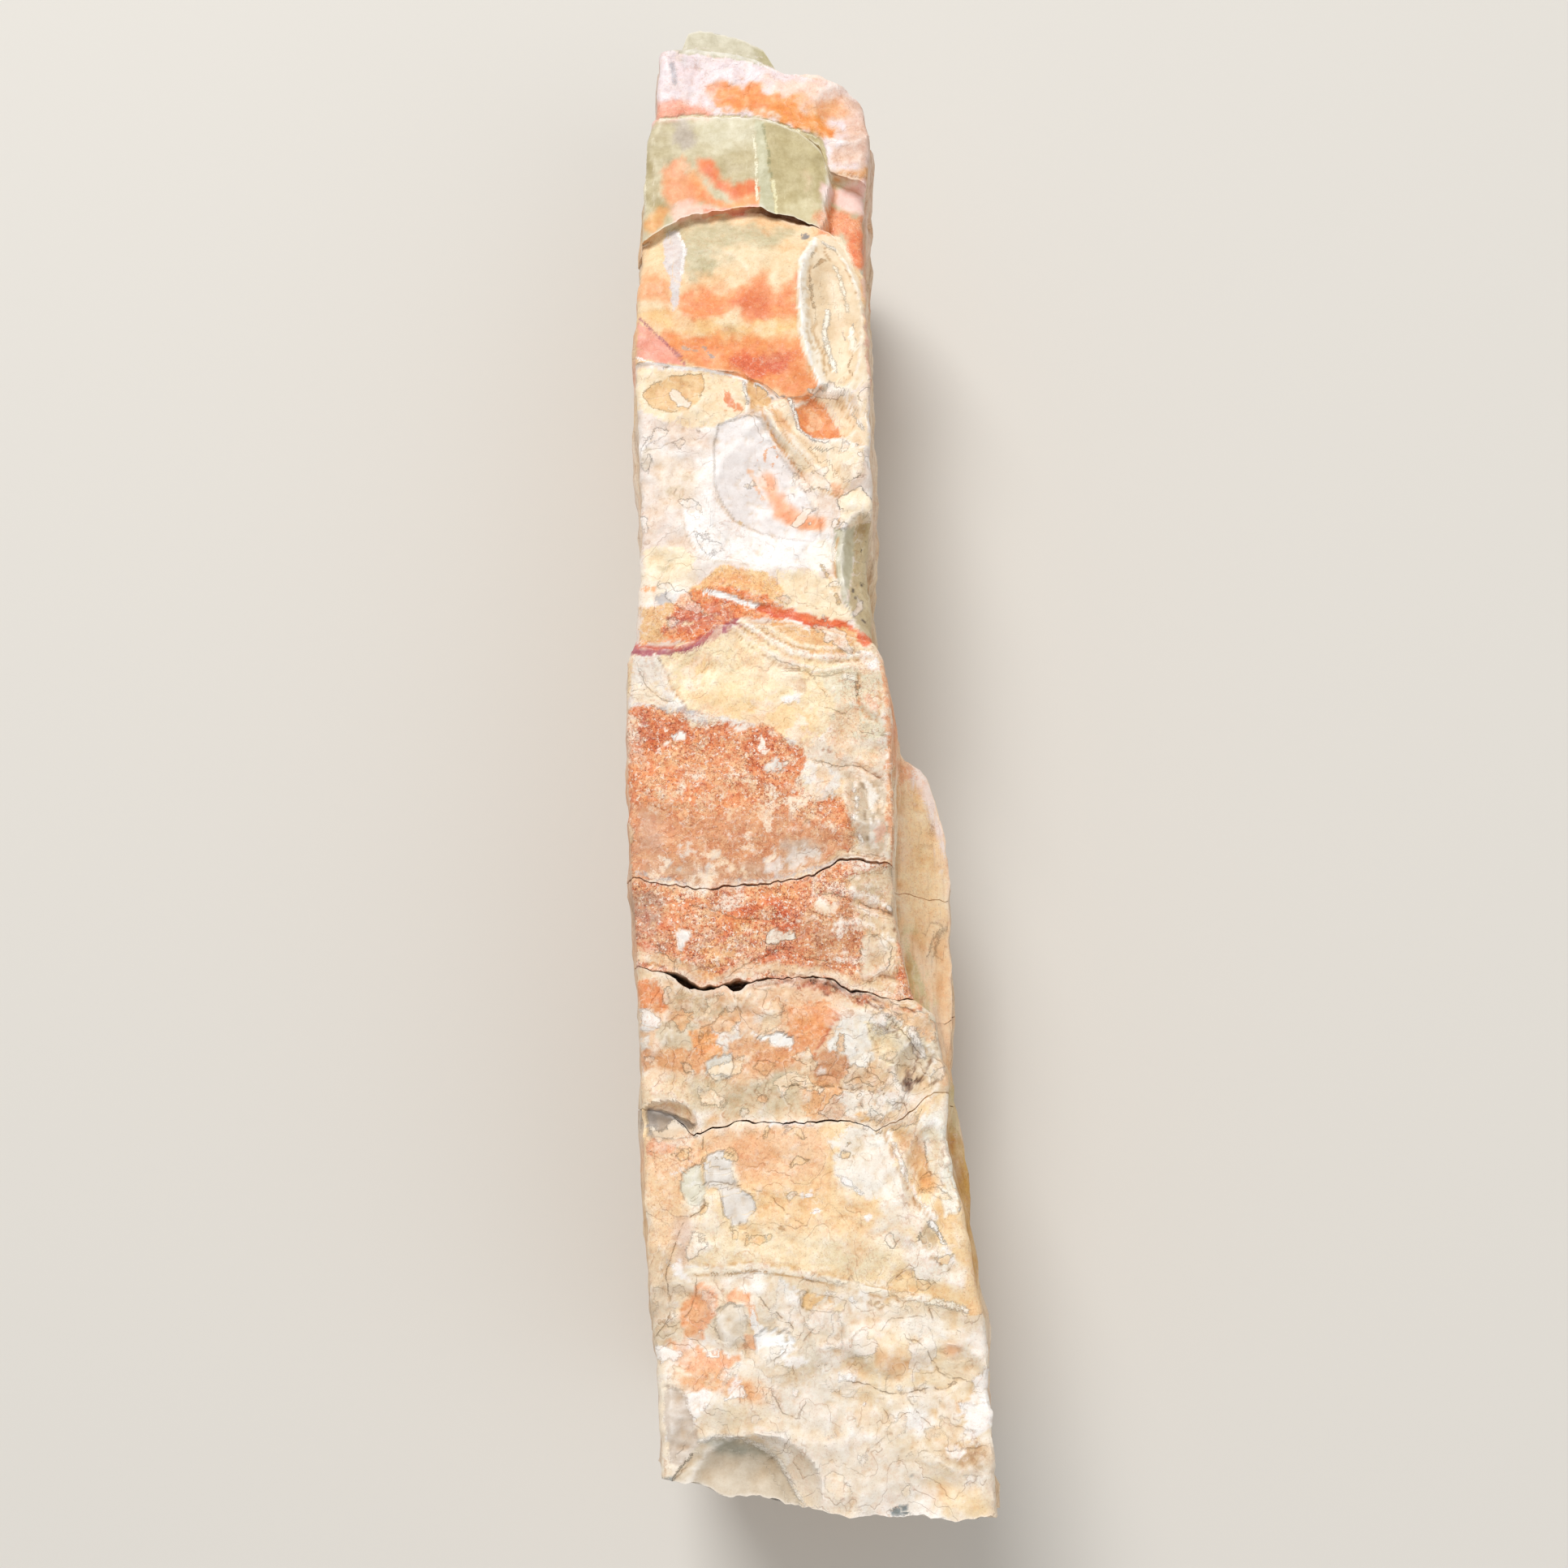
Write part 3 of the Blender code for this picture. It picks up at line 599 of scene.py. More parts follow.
HEAD_MARKS = placed(790, 30, [
    area("cac2a8", 0.8, "38,30 48,20 57,6 71,1 98,8 162,26 172,54 156,53 134,47 105,42 76,40 47,36",
         grain=0.0),
    area("b2a77c", 3, "142,21 162,26 172,54 150,52", cover=0.8),
    area("eddee0", 1.0, "18,24 47,36 76,40 105,42 134,48 172,56 250,78 290,120 290,185 210,170 172,120 "
         "70,110 5,140"),
    streak("b9b5ba", 1.1, 1.0, "40,50 39,62 41,74", cover=0.8),
    streak("blue grey", 0.8, 1.0, "52,42 55,54", cover=0.5),
    streak("dusty pink", 0.8, 1.2, "82,74 78,84 70,94", cover=0.5),
    area("f7d3bf", 1.6, "154,62 210,68 256,84 272,102 270,138 250,120 210,104 165,92"),
    area("f49c5a", 0.9, "87,78 103,71 148,73 164,88 166,102 148,110 115,108 94,100", ragged=1.3, grain=0.1),
    area("f2b79f", 0.9, "80,80 96,74 100,92 84,98", cover=0.8),
    area("f1a58c", 0.9, "16,100 32,91 50,93 70,101 87,109 82,116 50,117 14,123"),
    area("f4ab70", 1.4, "194,92 220,94 244,90 250,110 240,120 210,114", cover=0.8),
    area("ee9446", 0.9, "166,100 182,96 200,108 222,120 246,130 250,144 220,142 195,128 170,116",
         ragged=1.2, grain=0.1),
    area("dfbdaa", 1.2, "258,88 278,98 288,120 284,170 270,184 254,176 244,154 254,128"),
    streak("d9a88e", 0.8, 1.0, "230,148 244,160 266,166", cover=0.7),
])

BLOCK_MARKS = placed(790, 140, [
    area("cbbe99", 0.5, "19,6 63,2 100,1 139,3 173,12 214,28 225,37 232,71 227,98 224,114 212,137 193,134 "
         "163,127 144,118 105,125 66,132 32,142 7,150 3,90 6,33", ragged=0.35, grain=0.0),
    area("dbd2b4", 1.3, "68,6 100,2 140,4 140,28 115,44 90,48 72,32", cover=0.85),
    area("bfb08a", 1.3, "8,20 34,10 42,44 48,60 22,74 7,60", cover=0.7),
    spot("bcae9c", 0.9, (53, 28), (13, 17), ragged=0.8),
    area("c3b389", 0.9, "94,54 114,47 138,46 140,74 122,86 102,82 92,68", ragged=0.7),
    area("ee9f6c", 0.9, "22,66 48,60 62,70 72,92 78,112 60,122 32,118 20,96", cover=0.9, ragged=1.1),
    area("f3c4ae", 0.9, "30,118 60,104 90,114 140,108 142,117 105,124 66,131 36,139"),
    streak("f3a86a", 2.0, 0.8, "64,74 74,94 88,108 108,114 136,104"),
    streak("ea8350", 3.0, 0.8, "78,62 86,74 98,87 116,95 138,90"),
    streak("ee8a50", 2.2, 0.8, "60,92 76,103 94,110"),
    area("ee9b7c", 0.7, "76,119 110,116 140,112 138,118 105,124 78,129"),
    area("ab9868", 0.9, "6,54 20,60 28,96 32,122 16,128 5,100", cover=0.75),
    area("e4a868", 0.8, "6,120 30,122 28,143 7,151"),
    area("c2b284", 0.5, "146,6 173,12 214,28 224,38 231,71 226,98 223,114 211,137 193,134 166,127 160,88 "
         "154,50", ragged=0.2, grain=0.0),
    area("b09f6f", 0.95, "210,30 224,40 231,71 224,100 215,88 211,56", cover=0.8),
    area("dacda4", 0.9, "168,114 195,107 222,112 211,135 182,131", cover=0.85),
    spot("e2c49f", 0.9, (205, 86), (6, 12), cover=0.6),
    area("c9c4a2", 0.5, "140,8 150,9 160,88 165,126 147,119 143,60", ragged=0.2),
    # Painted highlight along the facet's ridge
    streak("efe9cd", 0.5, 0.4, "139,24 141,60 143,106", ragged=0.2),
    streak("9c976d", 0.5, 0.5, "150,12 157,50 161,78", cover=0.8, ragged=0.2),
    # Painted highlight along the facet's lower ridge
    streak("e9e0b4", 0.7, 0.5, "162,82 165,104 167,126", ragged=0.2),
    # Painted highlight along the block's top edge
    streak("e4dcbb", 0.6, 0.6, "23,8 67,3 145,4 172,13 216,30", cover=0.9, ragged=0.3),
    # Painted highlight down the block's left rim
    streak("efe5c9", 0.5, 0.5, "6,36 4,70 5,118", ragged=0.3),
])

LOW_GROUND_MARKS = placed(990, 170, [
    area("e8c6b2", 0.9, "32,8 74,16 76,36 34,34"),
    area("d9985c", 0.9, "32,36 58,38 78,46 78,56 54,52 32,48"),
    streak("a96a36", 0.6, 0.6, "34,43 56,45 78,52", cover=0.8),
    area("f3cbbf", 0.9, "26,56 76,58 78,94 40,88 24,82"),
    area("ef9e6e", 0.9, "14,100 30,88 50,92 76,94 78,126 50,124 18,120", grain=0.3),
    area("e77f50", 0.9, "50,114 80,118 84,170 64,168 54,140", grain=0.3),
    spot("slate", 0.6, (2, 122), (6, 4)),
])

SHOULDER_MARKS = placed(780, 270, [
    area("f1d7ab", 1.2, "10,52 20,34 42,20 46,66 14,70"),
    area("cdc19c", 2.0, "44,16 70,6 110,2 154,8 196,22 170,46 142,58 100,62 70,72 62,60"),
    area("f5dab0", 2.2, "100,48 150,34 205,30 212,64 180,74 120,74", cover=0.85),
    spot("b3a577", 1.4, (89, 59), (8, 8), cover=0.8),
    area("f1a873", 1.4, "11,66 42,64 49,80 42,98 10,96"),
    area("ef965d", 2.0, "58,94 86,80 120,88 150,72 180,82 206,76 206,124 150,131 100,128 60,124",
         grain=0.15),
    area("e17444", 2.0, "118,104 136,86 160,94 164,122 132,126", cover=0.75, grain=0.15),
    area("f3c686", 1.6, "10,122 50,126 70,134 100,128 138,128 206,130 206,146 138,150 90,146 50,142",
         grain=0.15),
    area("f5e2bd", 1.2, "114,114 128,110 138,122 136,138 120,142 112,128", cover=0.9),
    area("f5dfb6", 1.0, "154,134 170,132 174,144 156,148", cover=0.8),
    spot("c4a46c", 0.9, (124, 143), (6, 4), cover=0.7),
    area("ee9455", 1.1, "18,140 70,142 120,147 150,143 210,146 220,178 234,210 210,230 192,222 162,204 "
         "100,188 66,180 46,166", grain=0.15),
    area("df6440", 0.9, "120,166 150,171 192,163 197,184 160,192 124,180", cover=0.8, grain=0.35),
    area("dfd9da", 0.7, "36,32 44,16 56,16 62,34 60,70 56,106 49,112 41,66", cover=0.9, ragged=0.6),
    streak("f7f4f0", 0.5, 0.5, "56,17 62,36 59,68", ragged=0.3),
    area("efa18a", 0.5, "6,128 20,134 40,152 58,174 65,181 35,178 5,170", ragged=0.25),
    streak("ad6168", 0.7, 0.6, "9,124 27,140 53,165 65,179", cover=0.8, ragged=0.3),
    streak("928c8b", 0.9, 0.6, "86,158 93,166 99,170", cover=0.8),
    streak("b9a9a0", 0.6, 0.6, "60,158 78,163", cover=0.7),
    streak("chalk", 0.45, 0.5, "200,233 220,222 239,208", cover=0.9),
    # Painted highlight along the shoulder's lower rim
    streak("bright", 0.7, 0.5, "4,171 20,176 50,182 83,186 115,192 136,197 144,202 156,204 162,212",
           ragged=0.3),
    streak("77716c", 0.7, 0.6, "170,221 180,219 193,220", cover=0.8, ragged=1.2),
])

SHELL_MARKS = placed(980, 280, [
    area("efdabb", 0.5, "29,8 57,13 68,39 80,79 86,128 90,190 62,204 38,204 26,188 16,168 8,152 4,136 "
         "1,100 1,79 5,38 16,20", ragged=0.25, ink=0.1, grain=0.0),
    area("dfc39d", 3.0, "28,46 40,38 54,42 64,66 70,94 68,122 52,144 36,134 26,112 23,76", cover=0.75),
    area("f4e0c4", 2.8, "42,60 56,72 62,104 54,140 44,120", cover=0.8),
    # Painted highlights along the scar's outer rim
    streak("f7ecd9", 2.0, 0.9, "24,16 12,42 9,72 10,104 16,136 26,166 34,190", lift=0.25),
    streak("fdfaf3", 0.45, 0.5, "26,14 14,36 6,66 5,100 10,134 20,166 30,194", lift=0.15, ragged=0.6),
    # From here to the fbf2e0 streak: the thin tan and brown lines are painted shade along the rim and
    # folds, the pale ones painted highlights on the folds
    streak("dcc4a4", 0.3, 0.4, "20,22 10,50 9,76 13,112 19,144 29,172", cover=0.75, lift=-0.15, ragged=0.9),
    streak("dabf9c", 0.35, 0.5, "26,26 20,50 20,76 23,112 28,144 38,172 42,192", cover=0.75, lift=-0.25,
           ragged=0.9),
    streak("c09a70", 0.3, 0.4, "30,20 38,26 46,40 56,38 65,56 74,82", cover=0.75, lift=-0.2, ragged=0.9),
    streak("fcf3e2", 0.6, 0.6, "32,18 42,26 52,30 64,46 72,70", lift=0.2, ragged=0.6),
    streak("c6a47b", 0.3, 0.4, "26,50 34,40 44,42", cover=0.8, lift=-0.15, ragged=0.7),
    streak("c8a67d", 0.3, 0.5, "34,130 37,152 46,178", cover=0.7, lift=-0.15, ragged=0.7),
    streak("d5b68c", 0.3, 0.5, "30,150 36,166 40,182", cover=0.7, ragged=0.7),
    streak("fdf8ec", 0.9, 0.8, "38,104 36,128 40,154 50,178", cover=0.8, lift=0.2),
    streak("fbf2e0", 0.6, 0.8, "50,50 58,76 64,104", cover=0.7, lift=0.15, ragged=0.6),
    streak("f5e3c8", 1.2, 1.2, "64,26 76,66 81,100 83,150", cover=0.7),
    area("fbf6ee", 0.6, "64,124 72,118 76,128 70,136 64,134", cover=0.9, lift=0.25, ragged=1.2, ink=0.2),
    area("f9efdc", 0.6, "64,142 72,138 78,148 72,156 66,150", lift=0.25, ragged=1.2, ink=0.2),
    streak("8d7f70", 0.35, 0.5, "58,124 57,132 61,140", cover=0.7),
    streak("a5825c", 0.35, 0.5, "68,158 66,170 71,182", cover=0.7),
    spot("slate", 0.6, (41, 193), (4, 4), cover=0.8),
    area("e3b69c", 0.9, "80,65 98,50 98,190 88,190 87,130", grain=0.2),
])

WHITE_MARKS = placed(780, 450, [
    area("f6e0bc", 0.6, "4,3 83,8 115,14 137,20 141,36 139,58 120,66 102,76 70,78 40,70 24,61 4,55",
         ragged=0.4, grain=0.1),
    area("e6bd86", 0.5, "12,36 26,22 50,12 86,12 89,24 82,42 70,54 46,59 22,52", cover=0.9, lift=-0.2,
         ragged=0.3, grain=0.1),
    area("e78f5c", 0.9, "110,31 122,34 133,48 138,58 128,58 116,44"),
    area("e4ba84", 0.6, "142,17 164,32 171,50 166,57 152,56 143,50", lift=-0.3, ragged=0.3),
    streak("fbf3e6", 0.5, 0.5, "137,20 141,40 140,58", lift=0.2, ragged=0.3),
    # Painted light: the pure white on the lit side of the faint second arc
    area("fbf8f6", 1.6, "58,170 66,200 76,228 98,240 156,244 220,252 248,240 240,200 210,210 160,210 "
         "120,190 104,170 96,150", cover=0.8, ragged=0.4),
    streak("d8c8b2", 0.45, 0.7, "54,172 65,204 76,230 100,240 138,244", cover=0.6, ragged=0.4),
    area("ede5e2", 0.6, "142,60 125,67 105,74 100,98 100,140 108,168 125,191 138,198 170,210 220,218 "
         "232,210 230,190 219,170 208,150 192,126 175,106 166,85 158,66", cover=0.85, lift=-0.1, ragged=0.3,
         grain=0.0),
    # Painted shade: a thin shadow line along the tongue's left edge
    streak("cbbdab", 0.3, 0.5, "125,67 105,74 100,98 100,140 108,168 125,191 136,197", cover=0.55,
           ragged=0.3),
    area("f6e2c4", 0.5, "166,46 188,43 196,62 204,78 220,91 236,94 256,91 286,100 284,132 262,150 257,163 "
         "221,154 212,140 195,118 180,95 170,74", lift=0.35, ragged=0.3, ink=0.12, grain=0.1),
    # Painted shade on the lower left of the cream piece
    area("f1be8d", 0.9, "168,52 180,58 192,82 200,102 186,95 172,76", cover=0.8),
    area("f2b085", 0.9, "242,149 262,153 260,164 248,159", cover=0.7),
    area("ee9c63", 0.5, "197,55 226,37 242,62 257,88 240,91 224,90 210,81 200,68", lift=-0.4, ragged=0.3,
         grain=0.2),
    area("f3dcbb", 0.6, "225,40 239,29 262,34 290,30 290,100 270,96 256,86 241,61", ragged=0.3, grain=0.1),
    streak("c79f70", 0.35, 0.5, "250,40 260,62 276,80", cover=0.7, lift=-0.2),
    streak("fcf5e8", 0.7, 0.6, "260,38 270,60 284,78", lift=0.2),
    # The pocket's own orange, darker at its lower left as painted shade
    area("e58a50", 1.0, "198,56 206,70 215,81 226,89 250,88 226,80 212,64", cover=0.8),
    streak("fbeedb", 0.4, 0.4, "202,52 214,44 227,36", ragged=0.3),
    # Painted light: the pocket's paler middle
    area("f2c096", 0.95, "214,57 226,63 232,80 218,80", cover=0.8),
    # Painted highlight along the top edge of the cream piece
    streak("fff8ec", 0.7, 0.5, "193,43 199,60 205,78 221,92 236,95 256,91 270,97 286,103", lift=0.3,
           ragged=0.3),
    streak("d9a878", 0.6, 0.6, "157,52 166,73 174,91 186,107 200,125 216,143 232,153 256,163", cover=0.85,
           lift=-0.3, ragged=0.3),
    streak("f8e4c3", 0.9, 0.5, "163,51 172,71 180,87 193,103 209,123 224,140", lift=0.4, ragged=0.3),
    streak("d6a46c", 0.5, 0.6, "170,50 178,69 186,85 200,102 216,121", cover=0.8, ragged=0.3),
    streak("f3bb93", 1.2, 1.2, "144,130 150,148 160,162", cover=0.8, ragged=0.8),
    streak("f2a67a", 3.0, 2.4, "162,142 175,160 188,178 206,192 228,194", cover=0.9, ragged=0.8),
    streak("f0a070", 1.8, 2.4, "182,184 204,193 229,195", ragged=0.6),
    streak("e99c6a", 0.3, 0.4, "164,102 175,99 178,112 172,126 163,122 164,102", cover=0.8),
    spot("dcb98c", 0.6, (134, 194), (5, 3), cover=0.8),
    area("e9d3ba", 3.2, "26,110 70,116 86,150 70,180 32,170", cover=0.6),
    spot("d4bd9b", 1.8, (52, 154), (12, 7), cover=0.6, ragged=1.5),
    spot("d0ba98", 1.6, (66, 138), (8, 8), cover=0.5, ragged=1.5),
    area("d8ccb9", 0.8, "12,106 22,102 24,118 18,132 12,128", cover=0.7, lift=-0.3),
    area("f7e4c2", 1.6, "14,226 60,222 78,234 76,250 50,270 16,266"),
    spot("bdb089", 1.2, (37, 249), (8, 5), cover=0.7, ragged=1.2),
    area("cream", 0.6, "252,166 280,149 298,170 294,192 270,206 256,190", lift=0.4, ragged=0.4, ink=0.15),
    area("c8c0a3", 0.8, "248,200 272,202 272,250 264,284 272,312 254,278 246,240", ragged=0.3, grain=0.0),
    area("cdb990", 0.8, "272,200 302,190 302,346 280,340 266,292 272,250", ragged=0.3, grain=0.1),
    streak("d09d64", 0.6, 0.6, "254,190 252,214 246,244 250,266", cover=0.8, ragged=0.4),
    spot("4d3d33", 0.4, (282, 230), (2.4, 3)),
    spot("4d3d33", 0.4, (282, 268), (2.6, 4)),
    spot("4d3d33", 0.4, (272, 276), (2, 3)),
    spot("4d3d33", 0.4, (276, 288), (2.4, 4)),
    spot("4d3d33", 0.4, (283, 296), (2.6, 5)),
    spot("4d3d33", 0.4, (275, 306), (2, 3)),
    spot("4d3d33", 0.4, (284, 316), (2.4, 3)),
    area("fdf6ea", 1.6, "220,218 246,210 250,240 240,254 220,250"),
    area("f6e2c0", 2.2, "180,256 220,250 250,266 268,314 220,314 186,300", grain=0.1),
    streak("e2c08f", 0.6, 0.6, "232,246 244,266 256,294", cover=0.8, lift=-0.2, ragged=0.4),
])

BAND_MARKS = placed(770, 690, [
    area("cream", 3.0, "16,10 90,14 88,40 16,50", cover=0.7),
    area("honey", 1.4, "72,48 96,20 130,6 166,12 192,30 198,54 150,38 108,34", cover=0.95, grain=0.4),
    area("f3b574", 2.4, "86,36 110,18 136,14 160,22 176,38 140,32 110,36", cover=0.8, grain=0.5),
    streak("b97a45", 0.25, 0.4, "98,22 110,18 116,26 128,32", cover=0.8, ragged=1.0),
    spot("orange", 1.2, (28, 37), (9, 5)),
    area("blue grey", 1.0, "36,46 55,38 68,45 66,56 42,56"),
    area("ochre", 1.4, "18,58 60,54 90,60 80,100 20,102", grain=0.4),
    area("deep orange", 1.0, "66,50 96,34 130,32 174,46 198,58 196,72 135,76 94,98 60,102 42,88",
         grain=0.7),
    area("brick", 1.6, "42,74 76,56 110,52 134,62 136,72 102,86 62,92", cover=0.75, grain=0.6),
    streak("f3d6ac", 1.0, 0.8, "44,76 62,80 80,81", cover=0.9, ragged=0.8),
    streak("wine", 0.9, 1.0, "50,86 80,74 114,66", cover=0.7),
    streak("red", 0.9, 0.8, "78,56 106,46 136,54", cover=0.8),
    streak("bright", 1.4, 0.75, "98,39 118,43 139,49 172,60", ragged=0.3, grain=0.0),
    streak("e7703f", 2.2, 0.6, "168,60 204,67 239,77 273,82 296,100", lift=-0.3, grain=0.2),
    streak("dc5a30", 0.9, 0.6, "176,65 206,71 240,81 272,85 292,97", cover=0.9),
    streak("b0606a", 2.6, 0.6, "2,110 33,114 59,117 82,109 104,94 136,80", grain=0.2),
    streak("cf6a58", 0.9, 0.7, "6,104 36,108 62,110 82,102 106,88", cover=0.8),
    streak("orange", 0.6, 0.5, "20,101 45,101 72,96", cover=0.9),
])

YELLOW_MARKS = placed(770, 760, [
    area("yellow cream", 1.2, "44,52 80,40 135,18 175,28 210,48 264,58 264,112 242,148 202,152 150,134 "
         "114,120 74,114 59,78", grain=0.22),
    area("honey", 3.5, "80,100 110,90 190,102 240,120 236,144 200,148 150,132 110,116", cover=0.6,
         grain=0.2),
    area("honey", 1.4, "80,55 98,52 106,64 90,72", cover=0.8),
    area("grey white", 1.2, "6,46 42,46 46,74 62,100 73,115 30,118 4,110", grain=0.2),
    area("cream", 2.0, "6,76 42,80 56,106 10,108", cover=0.8),
    streak("f6efe2", 0.8, 0.8, "38,46 43,64 54,86 70,112", lift=0.15, ragged=0.4),
    streak("b59c80", 0.3, 0.4, "42,48 47,64 58,86 74,112", cover=0.7, ragged=0.4),
    area("blue grey", 0.8, "4,114 42,112 72,116 116,124 114,130 80,130 60,120 4,120", ink=0.15),
    streak("grey white", 1.2, 0.8, "70,124 92,124 122,126 160,136 208,154", lift=0.25),
    area("ochre", 1.8, "184,6 230,14 284,16 282,40 236,46 202,34", grain=0.3),
    streak("fdf5e4", 1.2, 0.6, "143,6 174,24 206,43 239,50 302,46", lift=0.25, ragged=0.3),
    streak("b48a5c", 0.3, 0.4, "142,10 170,29 202,49 240,56 300,52", cover=0.75, lift=-0.15, ragged=0.3),
    streak("fbf0da", 0.8, 0.6, "135,12 164,35 194,55 230,63", lift=0.2, ragged=0.3),
    streak("b48a5c", 0.3, 0.4, "134,16 160,39 190,60 224,69", cover=0.7, lift=-0.15, ragged=0.3),
    streak("f8e6c4", 0.8, 0.6, "174,12 214,34 250,39 290,37", lift=0.15, ragged=0.4),
    streak("c69c68", 0.3, 0.4, "164,14 192,30 220,39 270,41", cover=0.7, ragged=0.3),
    streak("f7ecd6", 0.8, 0.8, "230,68 260,63 300,63", lift=0.2, ragged=0.6, ink=0.15),
    area("tan", 0.8, "206,80 220,78 223,92 210,96"),
    area("bright", 0.7, "188,98 214,98 216,108 196,110", lift=0.25),
    area("bright", 0.7, "266,72 292,70 290,82 270,82", lift=0.3, ink=0.4),
    area("pale olive", 1.8, "230,66 296,62 322,70 322,145 292,158 256,152 250,120 266,108"),
    area("bright", 0.9, "292,40 314,52 322,70 304,66 290,52", lift=0.3),
    streak("tan", 0.7, 0.7, "290,74 286,96 294,120 310,128 316,106 312,80", cover=0.9, lift=-0.45),
    area("pink", 1.0, "298,100 312,98 312,116 302,120", cover=0.6),
    streak("f2b78c", 1.5, 0.6, "319,52 323,90 325,140 327,156"),
])

